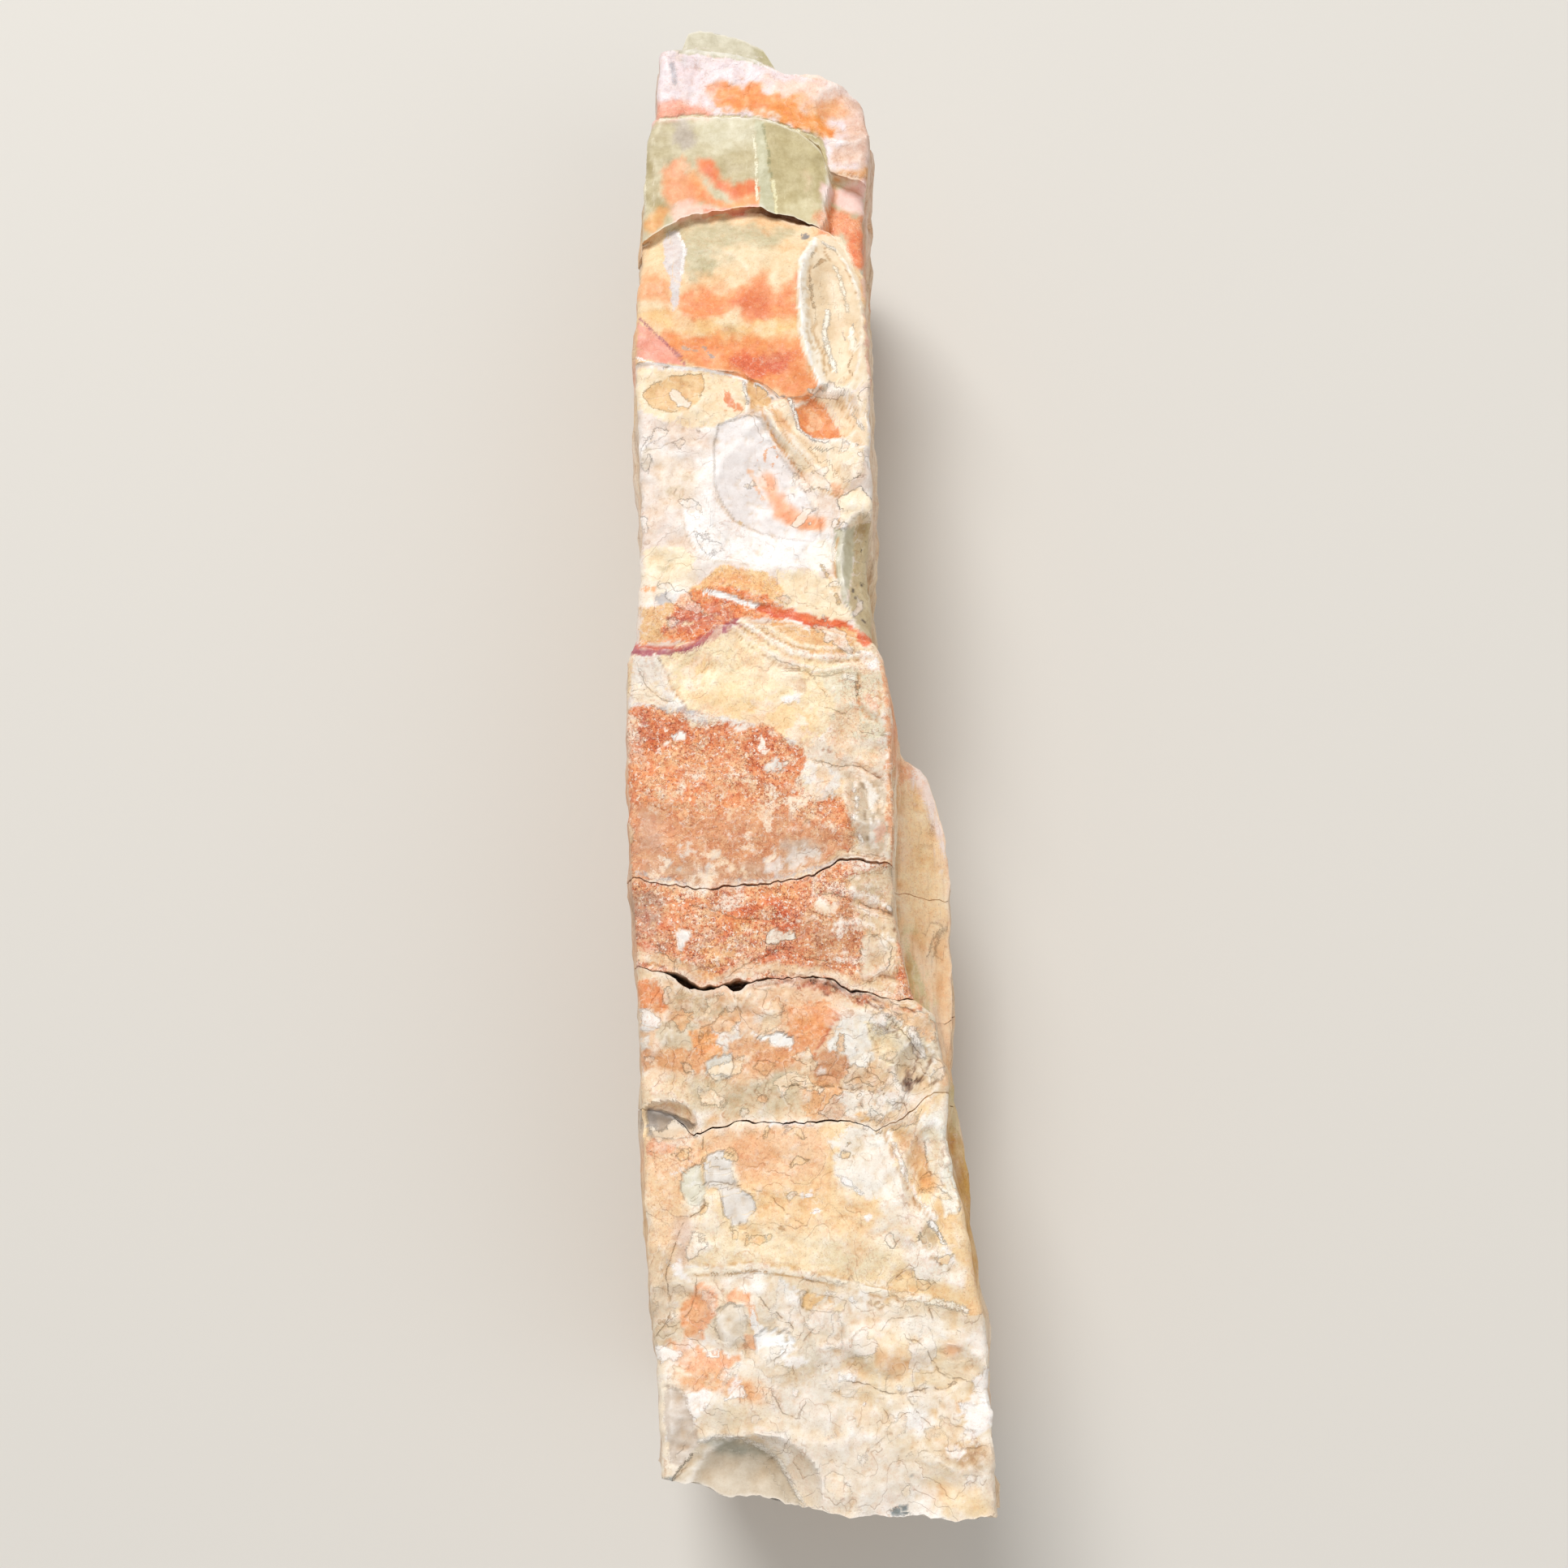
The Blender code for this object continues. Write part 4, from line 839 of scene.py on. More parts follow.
RUST_MARKS = placed(770, 870, [
    area("rust", 0.6, "0,6 30,3 64,10 76,26 88,22 131,20 156,27 181,25 210,46 223,68 217,96 239,115 "
         "266,112 284,145 286,170 262,182 233,192 207,208 160,218 93,223 6,210", lift=-0.12, ragged=1.3,
         ink=0.25, grain=0.9),
    area("red rust", 3.0, "2,10 66,12 82,32 130,26 170,32 214,54 214,80 160,78 110,60 60,68 2,55",
         cover=0.65, grain=1.0),
    area("wine", 2.0, "7,20 30,18 36,42 14,48", cover=0.45),
    area("deep orange", 5.0, "5,55 90,66 190,80 210,110 130,135 30,130 5,100", cover=0.45, grain=0.8),
    area("d08a5c", 3.0, "140,86 190,96 210,114 170,120 136,106", cover=0.6, grain=0.9),
    area("b9564a", 3.0, "6,14 26,12 30,36 20,60 6,56", cover=0.55, grain=0.8),
    area("f2b27c", 3.5, "30,60 80,50 120,68 80,86 36,80", cover=0.7, grain=0.8),
    area("f0ae7c", 3.0, "110,30 140,30 150,50 126,60", cover=0.6, grain=0.8),
    area("f8ecdf", 0.6, "160,32 170,44 174,56 166,52", ragged=1.8, grain=0.2),
    area("f8ecdf", 0.6, "198,102 214,106 226,114 210,112", ragged=1.8, grain=0.2),
    area("f8ecdf", 0.6, "48,44 56,40 60,50", ragged=1.8, grain=0.2),
    area("f8ecdf", 0.6, "135,23 148,26 160,30 144,31", ragged=1.8, grain=0.2),
    area("red rust", 2.2, "238,120 266,116 282,148 280,168 250,166", cover=0.55, grain=0.8),
    area("chalk", 0.5, "58,36 68,31 79,35 76,44 62,48", lift=0.15, grain=0.0),
    area("grey white", 0.6, "171,68 185,64 199,70 196,79 174,79", lift=0.15, ink=0.6, grain=0.1),
    area("ede6dc", 0.5, "220,70 230,64 242,74 264,80 270,96 258,100 262,114 238,110 230,102 216,92",
         lift=0.2, ragged=1.4, ink=0.3, grain=0.2),
    spot("chalk", 0.7, (225, 146), (5, 4.5), ragged=0.3, grain=0.0),
    area("d5976c", 5.0, "6,130 90,134 170,130 230,134 270,160 260,184 207,208 160,217 93,222 8,212",
         cover=0.75, grain=0.3),
    area("cda084", 4.0, "20,130 46,134 42,180 18,174", cover=0.7, grain=0.1),
    area("cfa98a", 4.0, "30,196 80,192 130,202 190,180 240,170 246,190 207,208 160,217 93,221 30,214",
         cover=0.75, grain=0.25),
    area("cdb9a8", 2.6, "190,166 230,164 240,176 206,186", cover=0.8, ragged=1.8, grain=0.1),
    spot("e4d8cd", 1.5, (174, 188), (7, 14), cover=0.85, ragged=2.2, grain=0.1),
    spot("e0d3c8", 1.5, (110, 184), (9, 7), cover=0.85, ragged=2.2, grain=0.1),
    spot("d6c8bb", 1.5, (56, 198), (11, 11), cover=0.85, ragged=2.2, grain=0.1),
    spot("ddd1c6", 1.5, (214, 190), (9, 7), cover=0.85, ragged=2.2, grain=0.1),
    spot("e6dad0", 1.5, (190, 196), (8, 6), cover=0.85, ragged=2.2, grain=0.1),
    spot("e2d6ca", 1.5, (136, 206), (9, 4), cover=0.85, ragged=2.2, grain=0.1),
    spot("ded0c2", 1.5, (92, 208), (9, 5), cover=0.85, ragged=2.2, grain=0.1),
    spot("e4dad0", 1.5, (232, 180), (8, 5), cover=0.85, ragged=2.2, grain=0.1),
    spot("e8dccf", 1.5, (76, 178), (6, 4), cover=0.85, ragged=2.2, grain=0.1),
    spot("e0d0c0", 1.5, (150, 178), (5, 4), cover=0.85, ragged=2.2, grain=0.1),
    spot("cream", 1.6, (122, 194), (10, 8), cover=0.7),
    spot("cream", 1.6, (110, 180), (8, 6), cover=0.6),
    streak("blue grey", 1.0, 0.8, "14,204 49,213 93,222 116,216 166,216 207,207 239,200 260,190", cover=0.8,
           ragged=0.4),
    area("e6d6c1", 0.9, "230,38 270,42 322,42 326,196 292,194 286,170 284,144 268,114 268,90 244,70 222,60",
         grain=0.25),
    area("f0dfc2", 2.4, "274,52 312,48 316,74 290,80"),
    # Down to the f3ebdf streak: the grey-brown patches and dark lines are painted shade in the crumpled
    # folds, the pale patches and streaks painted highlights on their crests
    area("c8ae8d", 2.4, "270,86 288,90 294,130 288,166 280,170 276,130", cover=0.8),
    area("cbb79c", 1.6, "286,82 318,92 322,140 320,182 296,180 288,140", cover=0.85, grain=0.1),
    streak("93795c", 0.35, 0.5, "286,80 292,98 300,110 296,134 302,156 296,178", cover=0.75, lift=-0.2,
           ragged=0.6),
    area("ece3d6", 0.8, "296,90 308,98 314,120 306,134 298,120", lift=0.2, ragged=1.0),
    area("e6dbcb", 0.8, "304,136 314,144 312,174 302,176 300,152", lift=0.2, ragged=1.0),
    streak("a28a6e", 0.35, 0.5, "314,96 312,120 306,138 316,160", cover=0.7, lift=-0.15, ragged=0.7),
    streak("f3ebdf", 0.6, 0.7, "280,96 286,120 284,144 292,170", lift=0.15, ragged=0.8),
    streak("e2ab80", 1.4, 0.6, "325,48 327,110 329,160 331,208", ragged=0.6),
    streak("b57f60", 0.4, 0.5, "239,50 266,60 290,74 321,92", cover=0.8, lift=-0.2, ragged=0.7),
    streak("a57f5e", 0.5, 0.5, "260,187 286,182 320,190", cover=0.8, lift=-0.3, ragged=0.6),
    streak("caa582", 0.8, 0.6, "264,192 290,188 322,197", cover=0.8, ragged=0.6),
    area("pink", 0.9, "306,150 320,144 320,166 310,170", cover=0.7),
])

SECOND_RUST_MARKS = placed(770, 1060, [
    area("rust", 0.9, "8,26 49,33 93,42 116,38 166,36 207,28 239,24 275,18 294,40 292,90 290,132 230,140 "
         "160,152 81,135 8,124", ragged=1.2, grain=1.0),
    area("deep orange", 4.0, "50,45 170,40 190,70 160,100 60,90", cover=0.5, grain=1.0),
    area("red", 3.0, "125,52 190,48 230,66 205,82 155,76", cover=0.6, grain=1.0),
    area("c6946c", 4.0, "215,60 290,50 294,120 230,132 208,90", cover=0.6, grain=0.7),
    area("brick", 4.0, "90,90 170,90 220,110 190,135 100,130", cover=0.4, grain=1.0),
    area("slate", 2.6, "16,40 35,36 52,52 50,74 34,90 16,86", cover=0.5, grain=0.5),
    area("dusty pink", 2.6, "20,80 48,90 50,120 20,118", cover=0.5),
    area("chalk", 0.5, "62,92 72,85 82,86 80,100 66,110 58,104", lift=0.2, ink=0.3, grain=0.1),
    area("e9dfce", 0.7, "174,90 184,82 196,86 206,84 210,94 198,102 186,104 172,102", lift=0.2, ragged=1.6,
         ink=0.6, grain=0.3),
    area("f6e4cf", 0.7, "230,40 242,52 256,62 244,60", ragged=1.8, grain=0.3),
    area("f6e4cf", 0.7, "66,52 72,56 66,64", ragged=1.8, grain=0.3),
    area("f6e4cf", 0.7, "190,76 214,70 240,68", ragged=1.8, grain=0.3),
    area("f6e4cf", 0.7, "110,108 130,116 114,118", ragged=1.8, grain=0.3),
    area("f6e4cf", 0.7, "250,82 280,78 260,88", ragged=1.8, grain=0.3),
    area("cream", 0.8, "234,48 246,44 260,54 248,62", lift=0.2, grain=0.1),
    area("e2c8a4", 1.4, "276,22 334,8 338,162 294,164 288,130 296,90 280,50", ink=0.3, grain=0.25),
    streak("93704e", 0.3, 0.5, "292,70 310,82 332,90", cover=0.75, lift=-0.15, ragged=0.8),
    streak("93704e", 0.3, 0.5, "294,130 312,120 330,128", cover=0.75, lift=-0.15, ragged=0.8),
    streak("93704e", 0.3, 0.5, "300,146 316,140 334,146", cover=0.75, lift=-0.15, ragged=0.8),
    streak("93704e", 0.3, 0.5, "288,50 306,64 330,70", cover=0.75, lift=-0.15, ragged=0.8),
    streak("f8efe0", 0.6, 0.6, "296,80 312,92 332,100", lift=0.15, ragged=1.0),
    streak("f8efe0", 0.6, 0.6, "296,136 314,130 332,136", lift=0.15, ragged=1.0),
    streak("f8efe0", 0.6, 0.6, "292,40 310,48 328,48", lift=0.15, ragged=1.0),
    area("e4cfb2", 0.8, "294,98 314,90 330,110 322,136 296,144 286,126", lift=0.3, ink=0.4),
    area("tan", 2.4, "290,40 322,36 326,70 296,76", cover=0.7, grain=0.5),
    streak("dusty pink", 1.4, 1.0, "12,130 30,128 56,132 100,146", cover=0.8),
    streak("c87c5a", 2.0, 1.0, "142,152 170,151 194,148 230,152 270,162 292,172", cover=0.85, ragged=0.8,
           grain=0.6),
    streak("6f4434", 0.45, 0.5, "148,156 175,152 206,150 238,154 266,164", cover=0.85, lift=-0.4,
           ragged=0.8),
    streak("f0c4a2", 0.5, 0.5, "156,160 190,156 220,157 244,164", cover=0.9, lift=0.2, ragged=0.9),
    streak("ecd0aa", 2.2, 1.2, "22,119 45,125 68,131 90,145 114,149 130,139 150,131 180,133 220,137 "
           "260,143 292,153", cover=0.85, ragged=1.0, grain=0.2),
    streak("a06a4c", 0.35, 0.4, "16,124 40,131 66,137", cover=0.8, lift=-0.2),
    streak("a06a4c", 0.35, 0.4, "160,139 210,143 270,153", cover=0.8, lift=-0.2, ragged=0.6),
    area("d3bd9c", 1.0, "264,14 320,6 328,44 290,48 270,32", cover=0.8, ragged=1.3),
    streak("8f7053", 0.4, 0.5, "240,38 270,44 302,60 330,70", cover=0.8, lift=-0.3, ragged=0.8),
    streak("fbf4e8", 0.8, 0.6, "270,36 300,48 330,62", lift=0.3, ragged=0.8),
])

MOTTLED_MARKS = placed(780, 1200, [
    area("efc6a0", 3.0, "6,5 260,16 260,100 180,130 20,130 6,100", cover=0.75, grain=0.2),
    area("e8935a", 1.0, "7,6 32,8 44,32 32,47 7,44", grain=0.3),
    area("cfbb9b", 2.4, "42,19 76,22 112,32 122,50 80,62 46,52", cover=0.85, grain=0.3),
    area("d5c5a8", 1.0, "26,62 50,56 88,66 82,90 56,94 32,84", cover=0.9, grain=0.1),
    area("f3ece4", 0.6, "7,44 18,40 33,56 28,70 7,72", lift=0.15, ink=0.2),
    area("e9e0d4", 0.6, "7,82 20,80 23,92 8,97", ink=0.15),
    area("dda06c", 1.0, "28,92 58,89 86,98 94,128 62,128 32,118", cover=0.9, grain=0.3),
    area("da9562", 1.2, "8,98 26,90 28,118 8,122", cover=0.8, grain=0.3),
    area("efa96a", 1.2, "70,68 104,64 120,90 94,104 72,92", grain=0.3),
    area("efe7dc", 0.6, "94,62 110,56 128,62 132,84 120,92 104,76", lift=0.15, ragged=1.2, ink=0.2),
    area("eab587", 1.2, "122,84 150,74 188,84 204,102 196,120 150,126 126,112", cover=0.9, grain=0.3),
    area("d9935c", 2.4, "154,90 186,88 200,104 190,118 160,116", cover=0.6, grain=0.3),
    area("eaa674", 1.2, "192,40 230,32 254,46 240,72 224,104 204,106 192,80", grain=0.3),
    area("ee9f60", 1.6, "196,52 232,50 236,66 224,84 204,80", cover=0.8, grain=0.3),
    streak("c9693f", 0.6, 0.6, "256,47 240,71 223,105", cover=0.85),
    area("fbf7f1", 0.5, "150,74 164,68 180,66 196,80 192,90 170,83", lift=0.2, ragged=1.2, ink=0.25,
         grain=0.0),
    streak("fbf7f1", 0.5, 0.4, "146,72 170,84 194,92"),
    area("ddd8cd", 0.45, "87,108 102,101 123,99 125,112 120,126 104,133 92,124", lift=0.25, ragged=0.4,
         ink=0.6, grain=0.0),
    area("d69a6e", 0.8, "226,100 246,89 264,102 268,124 254,138 228,136 220,118", cover=0.9, ink=0.15,
         grain=0.3),
    area("eab27c", 1.4, "208,130 260,136 262,166 248,180 210,176", cover=0.85, grain=0.3),
    area("d6c6a6", 3.2, "70,132 125,134 200,120 208,150 200,172 120,176 70,162", cover=0.9, grain=0.2),
    area("c0b497", 2.6, "164,122 196,118 204,134 180,142", cover=0.8, grain=0.1),
    area("efd6b2", 2.6, "8,128 60,128 76,152 60,172 18,160", cover=0.9, grain=0.3),
    area("f1ebe0", 0.8, "254,54 280,48 300,62 296,100 284,130 268,120 264,98 240,92", ink=0.15, grain=0.1),
    area("f2dfb8", 0.8, "284,58 304,64 326,84 344,106 342,118 314,112 294,90", cover=0.9, ragged=0.6,
         ink=0.2),
    area("e2d3b2", 1.0, "296,50 324,56 348,90 344,102 318,76", cover=0.9),
    area("eee4d2", 0.8, "262,142 320,146 332,162 300,180 260,176 254,156", lift=0.15, ink=0.2),
    area("e9bd84", 0.8, "270,168 286,166 290,178 274,180"),
    area("eadbc0", 1.2, "324,38 370,32 380,100 360,96 340,70", grain=0.2),
    area("d9bf9c", 2.4, "336,100 356,92 372,112 374,144 352,152 334,136", cover=0.7),
    streak("f9efdc", 0.7, 0.6, "330,62 350,84 362,108 366,130", lift=0.3, ragged=0.6),
    streak("9d7c5e", 0.35, 0.4, "304,66 330,78 347,93 358,116", cover=0.85, lift=-0.2, ragged=0.4),
    streak("9d7c5e", 0.3, 0.4, "320,118 336,120 344,130", cover=0.8, ragged=0.6),
    streak("a3815f", 0.3, 0.4, "370,90 362,112 354,136", cover=0.8, ragged=0.6),
    area("e9dcc4", 2.4, "324,84 350,76 376,90 378,146 350,152 328,140", cover=0.7, grain=0.05),
    streak("8e7160", 0.35, 0.5, "342,86 350,100 348,118", cover=0.8, lift=-0.15, ragged=0.6),
    streak("fdf8f0", 0.35, 0.5, "356,62 364,86 370,116 366,136", cover=0.8, lift=-0.15, ragged=0.6),
    streak("94765c", 0.35, 0.5, "366,100 360,120 348,136", cover=0.8, lift=-0.15, ragged=0.6),
    streak("94765c", 0.35, 0.5, "374,130 362,140 346,142", cover=0.8, lift=-0.15, ragged=0.6),
    streak("fdf6ea", 0.35, 0.5, "330,90 338,110 340,126", cover=0.8, lift=-0.15, ragged=0.6),
    spot("9c8370", 1.8, (349, 130), (8, 10), cover=0.8, ragged=1.8),
    spot("5c463b", 0.9, (348, 132), (4.5, 5), cover=0.9, lift=-0.4, ragged=1.8),
    # Grey in the chipped notch, painted shade under its sharp top edge
    area("a59d97", 0.6, "16,167 35,168 50,174 68,180 76,188 70,202 44,202 16,194", lift=-0.5, ragged=0.4,
         ink=0.3, grain=0.0),
    area("bdb6b0", 1.2, "17,178 48,180 68,188 60,202 36,202 17,196", cover=0.8, grain=0.0),
    streak("b4603c", 1.2, 0.9, "205,15 260,20 282,30 318,39 350,43", cover=0.75, ragged=1.0),
    streak("5b382b", 0.45, 0.6, "220,12 262,17 284,28 318,36 348,40", cover=0.8, lift=-0.3, ragged=1.0),
    streak("7c4630", 0.3, 0.5, "230,23 266,27 290,38 324,47", cover=0.7, lift=-0.2, ragged=1.2),
    streak("f0d3ae", 0.35, 0.5, "244,21 272,26 300,38 332,44", cover=0.8, lift=0.15, ragged=1.2),
])

CREAM_MARKS = placed(790, 1360, [
    area("f3c9a0", 2.4, "6,44 72,36 80,80 56,96 7,92", cover=0.9, grain=0.4),
    area("eda47a", 1.2, "7,44 36,42 46,54 22,62 7,60", cover=0.8),
    area("f3cfa4", 2.6, "7,90 48,92 52,130 40,160 38,210 36,280 14,300 7,200", cover=0.9, grain=0.3),
    area("f5caa0", 2.6, "76,34 140,26 220,26 234,50 226,92 170,110 122,102 114,70 80,56", cover=0.9,
         grain=0.25),
    area("eeac78", 2.4, "114,44 144,38 162,60 140,92 118,84", cover=0.6, grain=0.25),
    area("f5cf9c", 4.0, "120,92 220,86 280,130 270,170 170,170 140,140", cover=0.6, grain=0.25),
    area("f6e5c2", 4.0, "76,156 150,156 250,160 320,180 300,210 170,196 80,196", cover=0.8, grain=0.2),
    area("d6c196", 4.0, "210,188 270,170 310,196 270,216", cover=0.35, grain=0.3),
    area("e2dbc6", 0.45, "51,86 62,76 77,74 78,110 70,126 58,122 50,104", lift=0.1, ragged=0.4, ink=0.35,
         grain=0.0),
    area("e3dad0", 0.45, "79,72 84,62 100,58 113,64 111,88 116,104 136,114 141,130 130,148 114,151 102,138 "
         "96,108 79,102", lift=0.15, ragged=0.4, ink=0.35, grain=0.0),
    streak("f3ede2", 0.35, 0.4, "56,99 78,99 108,101", cover=0.8),
    area("d9bba8", 2.4, "38,148 56,136 66,152 64,188 48,206 37,192", cover=0.7, grain=0.1),
    area("e3d9cd", 1.2, "34,214 46,220 44,250 34,278 25,272 32,240", cover=0.8),
    area("f2eadd", 1.8, "228,32 270,28 302,40 316,84 308,110 276,114 252,102 240,70", ragged=1.4,
         grain=0.1),
    area("e8dac4", 2.4, "250,44 270,50 280,74 260,80", cover=0.6),
    area("f7f0e4", 2.4, "294,106 330,100 356,136 346,160 310,146", cover=0.8),
    area("faf3e6", 2.4, "318,166 360,170 406,210 400,234 340,212", cover=0.9),
    streak("bright", 0.8, 0.5, "246,88 258,100 270,110", lift=0.15, ragged=0.9),
    streak("bright", 0.7, 0.5, "160,27 190,25 212,27", lift=0.15, ragged=0.8),
    area("bright", 0.5, "260,140 286,137 290,142 268,146", ragged=1.3),
    area("bright", 0.5, "200,114 214,120 215,124 202,120", ragged=1.2),
    area("bright", 0.5, "206,135 214,132 216,137 208,141", ragged=1.2),
    streak("bright", 0.5, 0.4, "38,86 54,78 60,70", cover=0.8),
    spot("b78b5c", 0.9, (168, 151), (6, 3), cover=0.6, ragged=1.2),
    area("efd3ae", 0.9, "314,34 334,34 354,72 368,110 354,110 330,74", lift=-0.5, ragged=0.4, grain=0.2),
    streak("d9ae7c", 0.8, 0.8, "328,46 340,74 362,108", cover=0.6, ragged=0.4),
    area("f8f3e2", 0.6, "342,14 370,8 384,60 394,132 374,138 366,108 350,64", lift=0.3, ragged=0.4,
         ink=0.15),
    area("fdfaf2", 0.9, "348,18 370,14 374,32 352,36"),
    streak("c39c72", 0.5, 0.74, "299,36 314,76 336,120 358,142", cover=0.8, ragged=0.4),
    streak("fdf6ea", 0.9, 0.74, "305,36 320,74 342,118 362,140", lift=0.15, ragged=0.4),
    # Painted shade on the small triangular facet
    area("cdb795", 0.9, "341,164 352,146 366,162 362,182 348,180", cover=0.8, lift=-0.4, ragged=0.5),
    streak("fdf8ee", 0.8, 0.6, "356,144 370,164 386,196", lift=0.3),
    streak("b39468", 0.3, 0.4, "338,184 360,190 380,206", cover=0.8),
    # Painted highlight along the low ledge
    streak("fbf0da", 1.3, 0.8, "62,206 100,203 141,202 184,207 245,219 307,235 360,244 400,254", lift=0.2,
           ragged=0.3),
    streak("d3aa72", 0.3, 0.4, "80,200 141,197 184,202 245,214 310,230", cover=0.7, ragged=0.3),
    streak("c69a64", 0.35, 0.5, "66,212 141,208 190,213 270,231 330,247", cover=0.6, lift=-0.15,
           ragged=0.3),
])

LOWER_MARKS = placed(800, 1540, [
    area("f3ddb8", 3.6, "244,110 330,100 370,130 360,172 260,172 236,150", cover=0.8, grain=0.1),
    area("f2d8b0", 3.6, "334,176 400,164 422,220 400,246 350,230", cover=0.8, grain=0.1),
    area("f3b68c", 1.0, "52,44 68,40 84,56 80,82 66,106 48,104 46,82", grain=0.3),
    area("eea56e", 1.4, "38,62 54,56 62,100 44,110 34,92", cover=0.9, grain=0.2),
    area("eead80", 1.2, "58,50 70,44 72,64 58,80", cover=0.7, grain=0.3),
    area("f4bd94", 0.6, "96,52 114,48 126,54 110,64 96,68", grain=0.2),
    streak("f1a873", 1.3, 0.8, "118,56 124,72 130,90", cover=0.85),
    area("f2ba92", 0.6, "114,102 134,100 132,122 114,122", cover=0.9, grain=0.2),
    area("f2b88e", 2.2, "24,112 46,108 80,124 102,140 96,154 62,152 32,146", ragged=1.2, grain=0.2),
    area("f0b288", 1.0, "72,134 98,140 96,154 74,150", cover=0.8, grain=0.3),
    area("eeb27e", 2.4, "30,148 80,154 130,164 162,178 150,190 90,176 36,164", cover=0.9, grain=0.3),
    area("d3bb9a", 2.4, "0,0 28,8 24,60 36,100 12,150 3,130", cover=0.7, grain=0.1),
    area("e0d0ba", 0.6, "82,74 100,64 116,70 122,90 118,112 102,120 86,110 80,92", lift=0.2, ragged=0.6,
         ink=0.3, grain=0.0),
    area("fcfaf7", 0.6, "132,100 150,96 178,114 172,128 148,134 132,120", lift=0.15, ragged=1.2, ink=0.15,
         grain=0.0),
    area("fbf7f1", 0.6, "124,64 134,82 144,100 134,104 124,86", ragged=1.2),
    area("f3efe8", 0.8, "160,38 184,44 184,62 168,64 158,52", ragged=1.3),
    area("f4cb92", 0.5, "185,64 192,53 210,56 228,60 243,64 240,75 210,77 190,74", cover=0.95, lift=-0.2,
         ragged=0.4, ink=0.4),
    area("f7e8cc", 0.9, "226,62 243,64 240,74 224,72", cover=0.8),
    streak("b5915f", 0.35, 0.4, "196,52 186,60 190,72 204,77", cover=0.8, ragged=0.3),
    spot("c2a278", 0.5, (282, 68), (6, 5), cover=0.8, ragged=0.5, ink=0.3),
    spot("f6ead4", 0.5, (283, 68), (3, 2.6), ragged=0.4),
    area("d8ccb9", 3.0, "185,82 240,88 256,110 240,132 210,150 184,128", cover=0.8, grain=0.2),
    area("c39f80", 0.9, "202,122 210,112 220,106 216,120 206,128", cover=0.7, ragged=1.0),
    area("b8aa8e", 2.6, "244,114 266,114 276,130 254,134", cover=0.75),
    area("eab885", 3.2, "276,124 310,122 324,142 308,154 284,144", cover=0.85, grain=0.1),
    spot("f0b384", 2.6, (372, 122), (9, 9), cover=0.8),
    spot("edbb8b", 2.4, (386, 189), (8, 7), cover=0.8),
    area("f3ede3", 2.6, "300,78 350,76 376,100 350,116 310,108", cover=0.8),
    area("fcf8f3", 2.4, "296,202 340,196 360,212 330,226 300,220", cover=0.9),
    area("e6ded2", 3.2, "130,150 200,160 260,190 260,220 190,230 150,200", cover=0.7),
    area("e4d8c8", 4.0, "160,230 260,230 340,250 330,320 210,320 170,290", cover=0.6),
    # Painted shade on the brown-grey facet under its lip, darker in its middle
    area("cfb18c", 2.8, "354,244 422,236 428,272 396,276 370,260", cover=0.8, grain=0.2),
    area("bd9a74", 2.4, "384,248 412,244 410,264 390,262", cover=0.6, grain=0.3),
    area("f3d7a8", 3.0, "350,290 400,298 410,320 360,322", cover=0.7),
    spot("7d8484", 1.4, (314, 322), (11, 5), ragged=1.4),
    spot("8f8c86", 0.8, (326, 278), (4, 3), cover=0.7),
    spot("8f938f", 1.6, (26, 284), (14, 6), cover=0.8),
    area("efb88a", 2.6, "38,52 66,44 74,64 66,100 50,112 36,100", cover=0.6, ragged=1.2, grain=0.15),
])

END_SCAR_MARKS = placed(810, 1700, [
    area("cdbcab", 1.0, "12,6 32,14 42,50 52,82 32,106 16,102 8,50", cover=0.9, ragged=0.4, grain=0.0),
    area("d6c6af", 0.6, "52,80 70,74 98,74 126,85 145,101 163,128 180,166 130,180 60,150 14,136 32,104",
         lift=-0.4, ragged=0.3, grain=0.0),
    # This and the next two marks are the painted shading of the scar's bowl: darker under its top and right
    # rim, lighter at its lower left
    area("a39f8e", 2.6, "58,78 74,73 100,75 128,88 140,100 110,96 76,92", cover=0.9, grain=0.0),
    area("c1b097", 2.6, "120,96 142,104 160,130 168,156 150,150 134,120", cover=0.7, grain=0.0),
    area("e6d6bf", 3.0, "40,106 80,112 100,132 90,152 42,140", cover=0.8, grain=0.0),
    # Painted highlight along the scar's rim
    streak("f7efe2", 0.6, 0.6, "52,76 74,70 100,71 128,83 148,99 166,127 184,164", cover=0.8, lift=0.15,
           ragged=0.3),
])

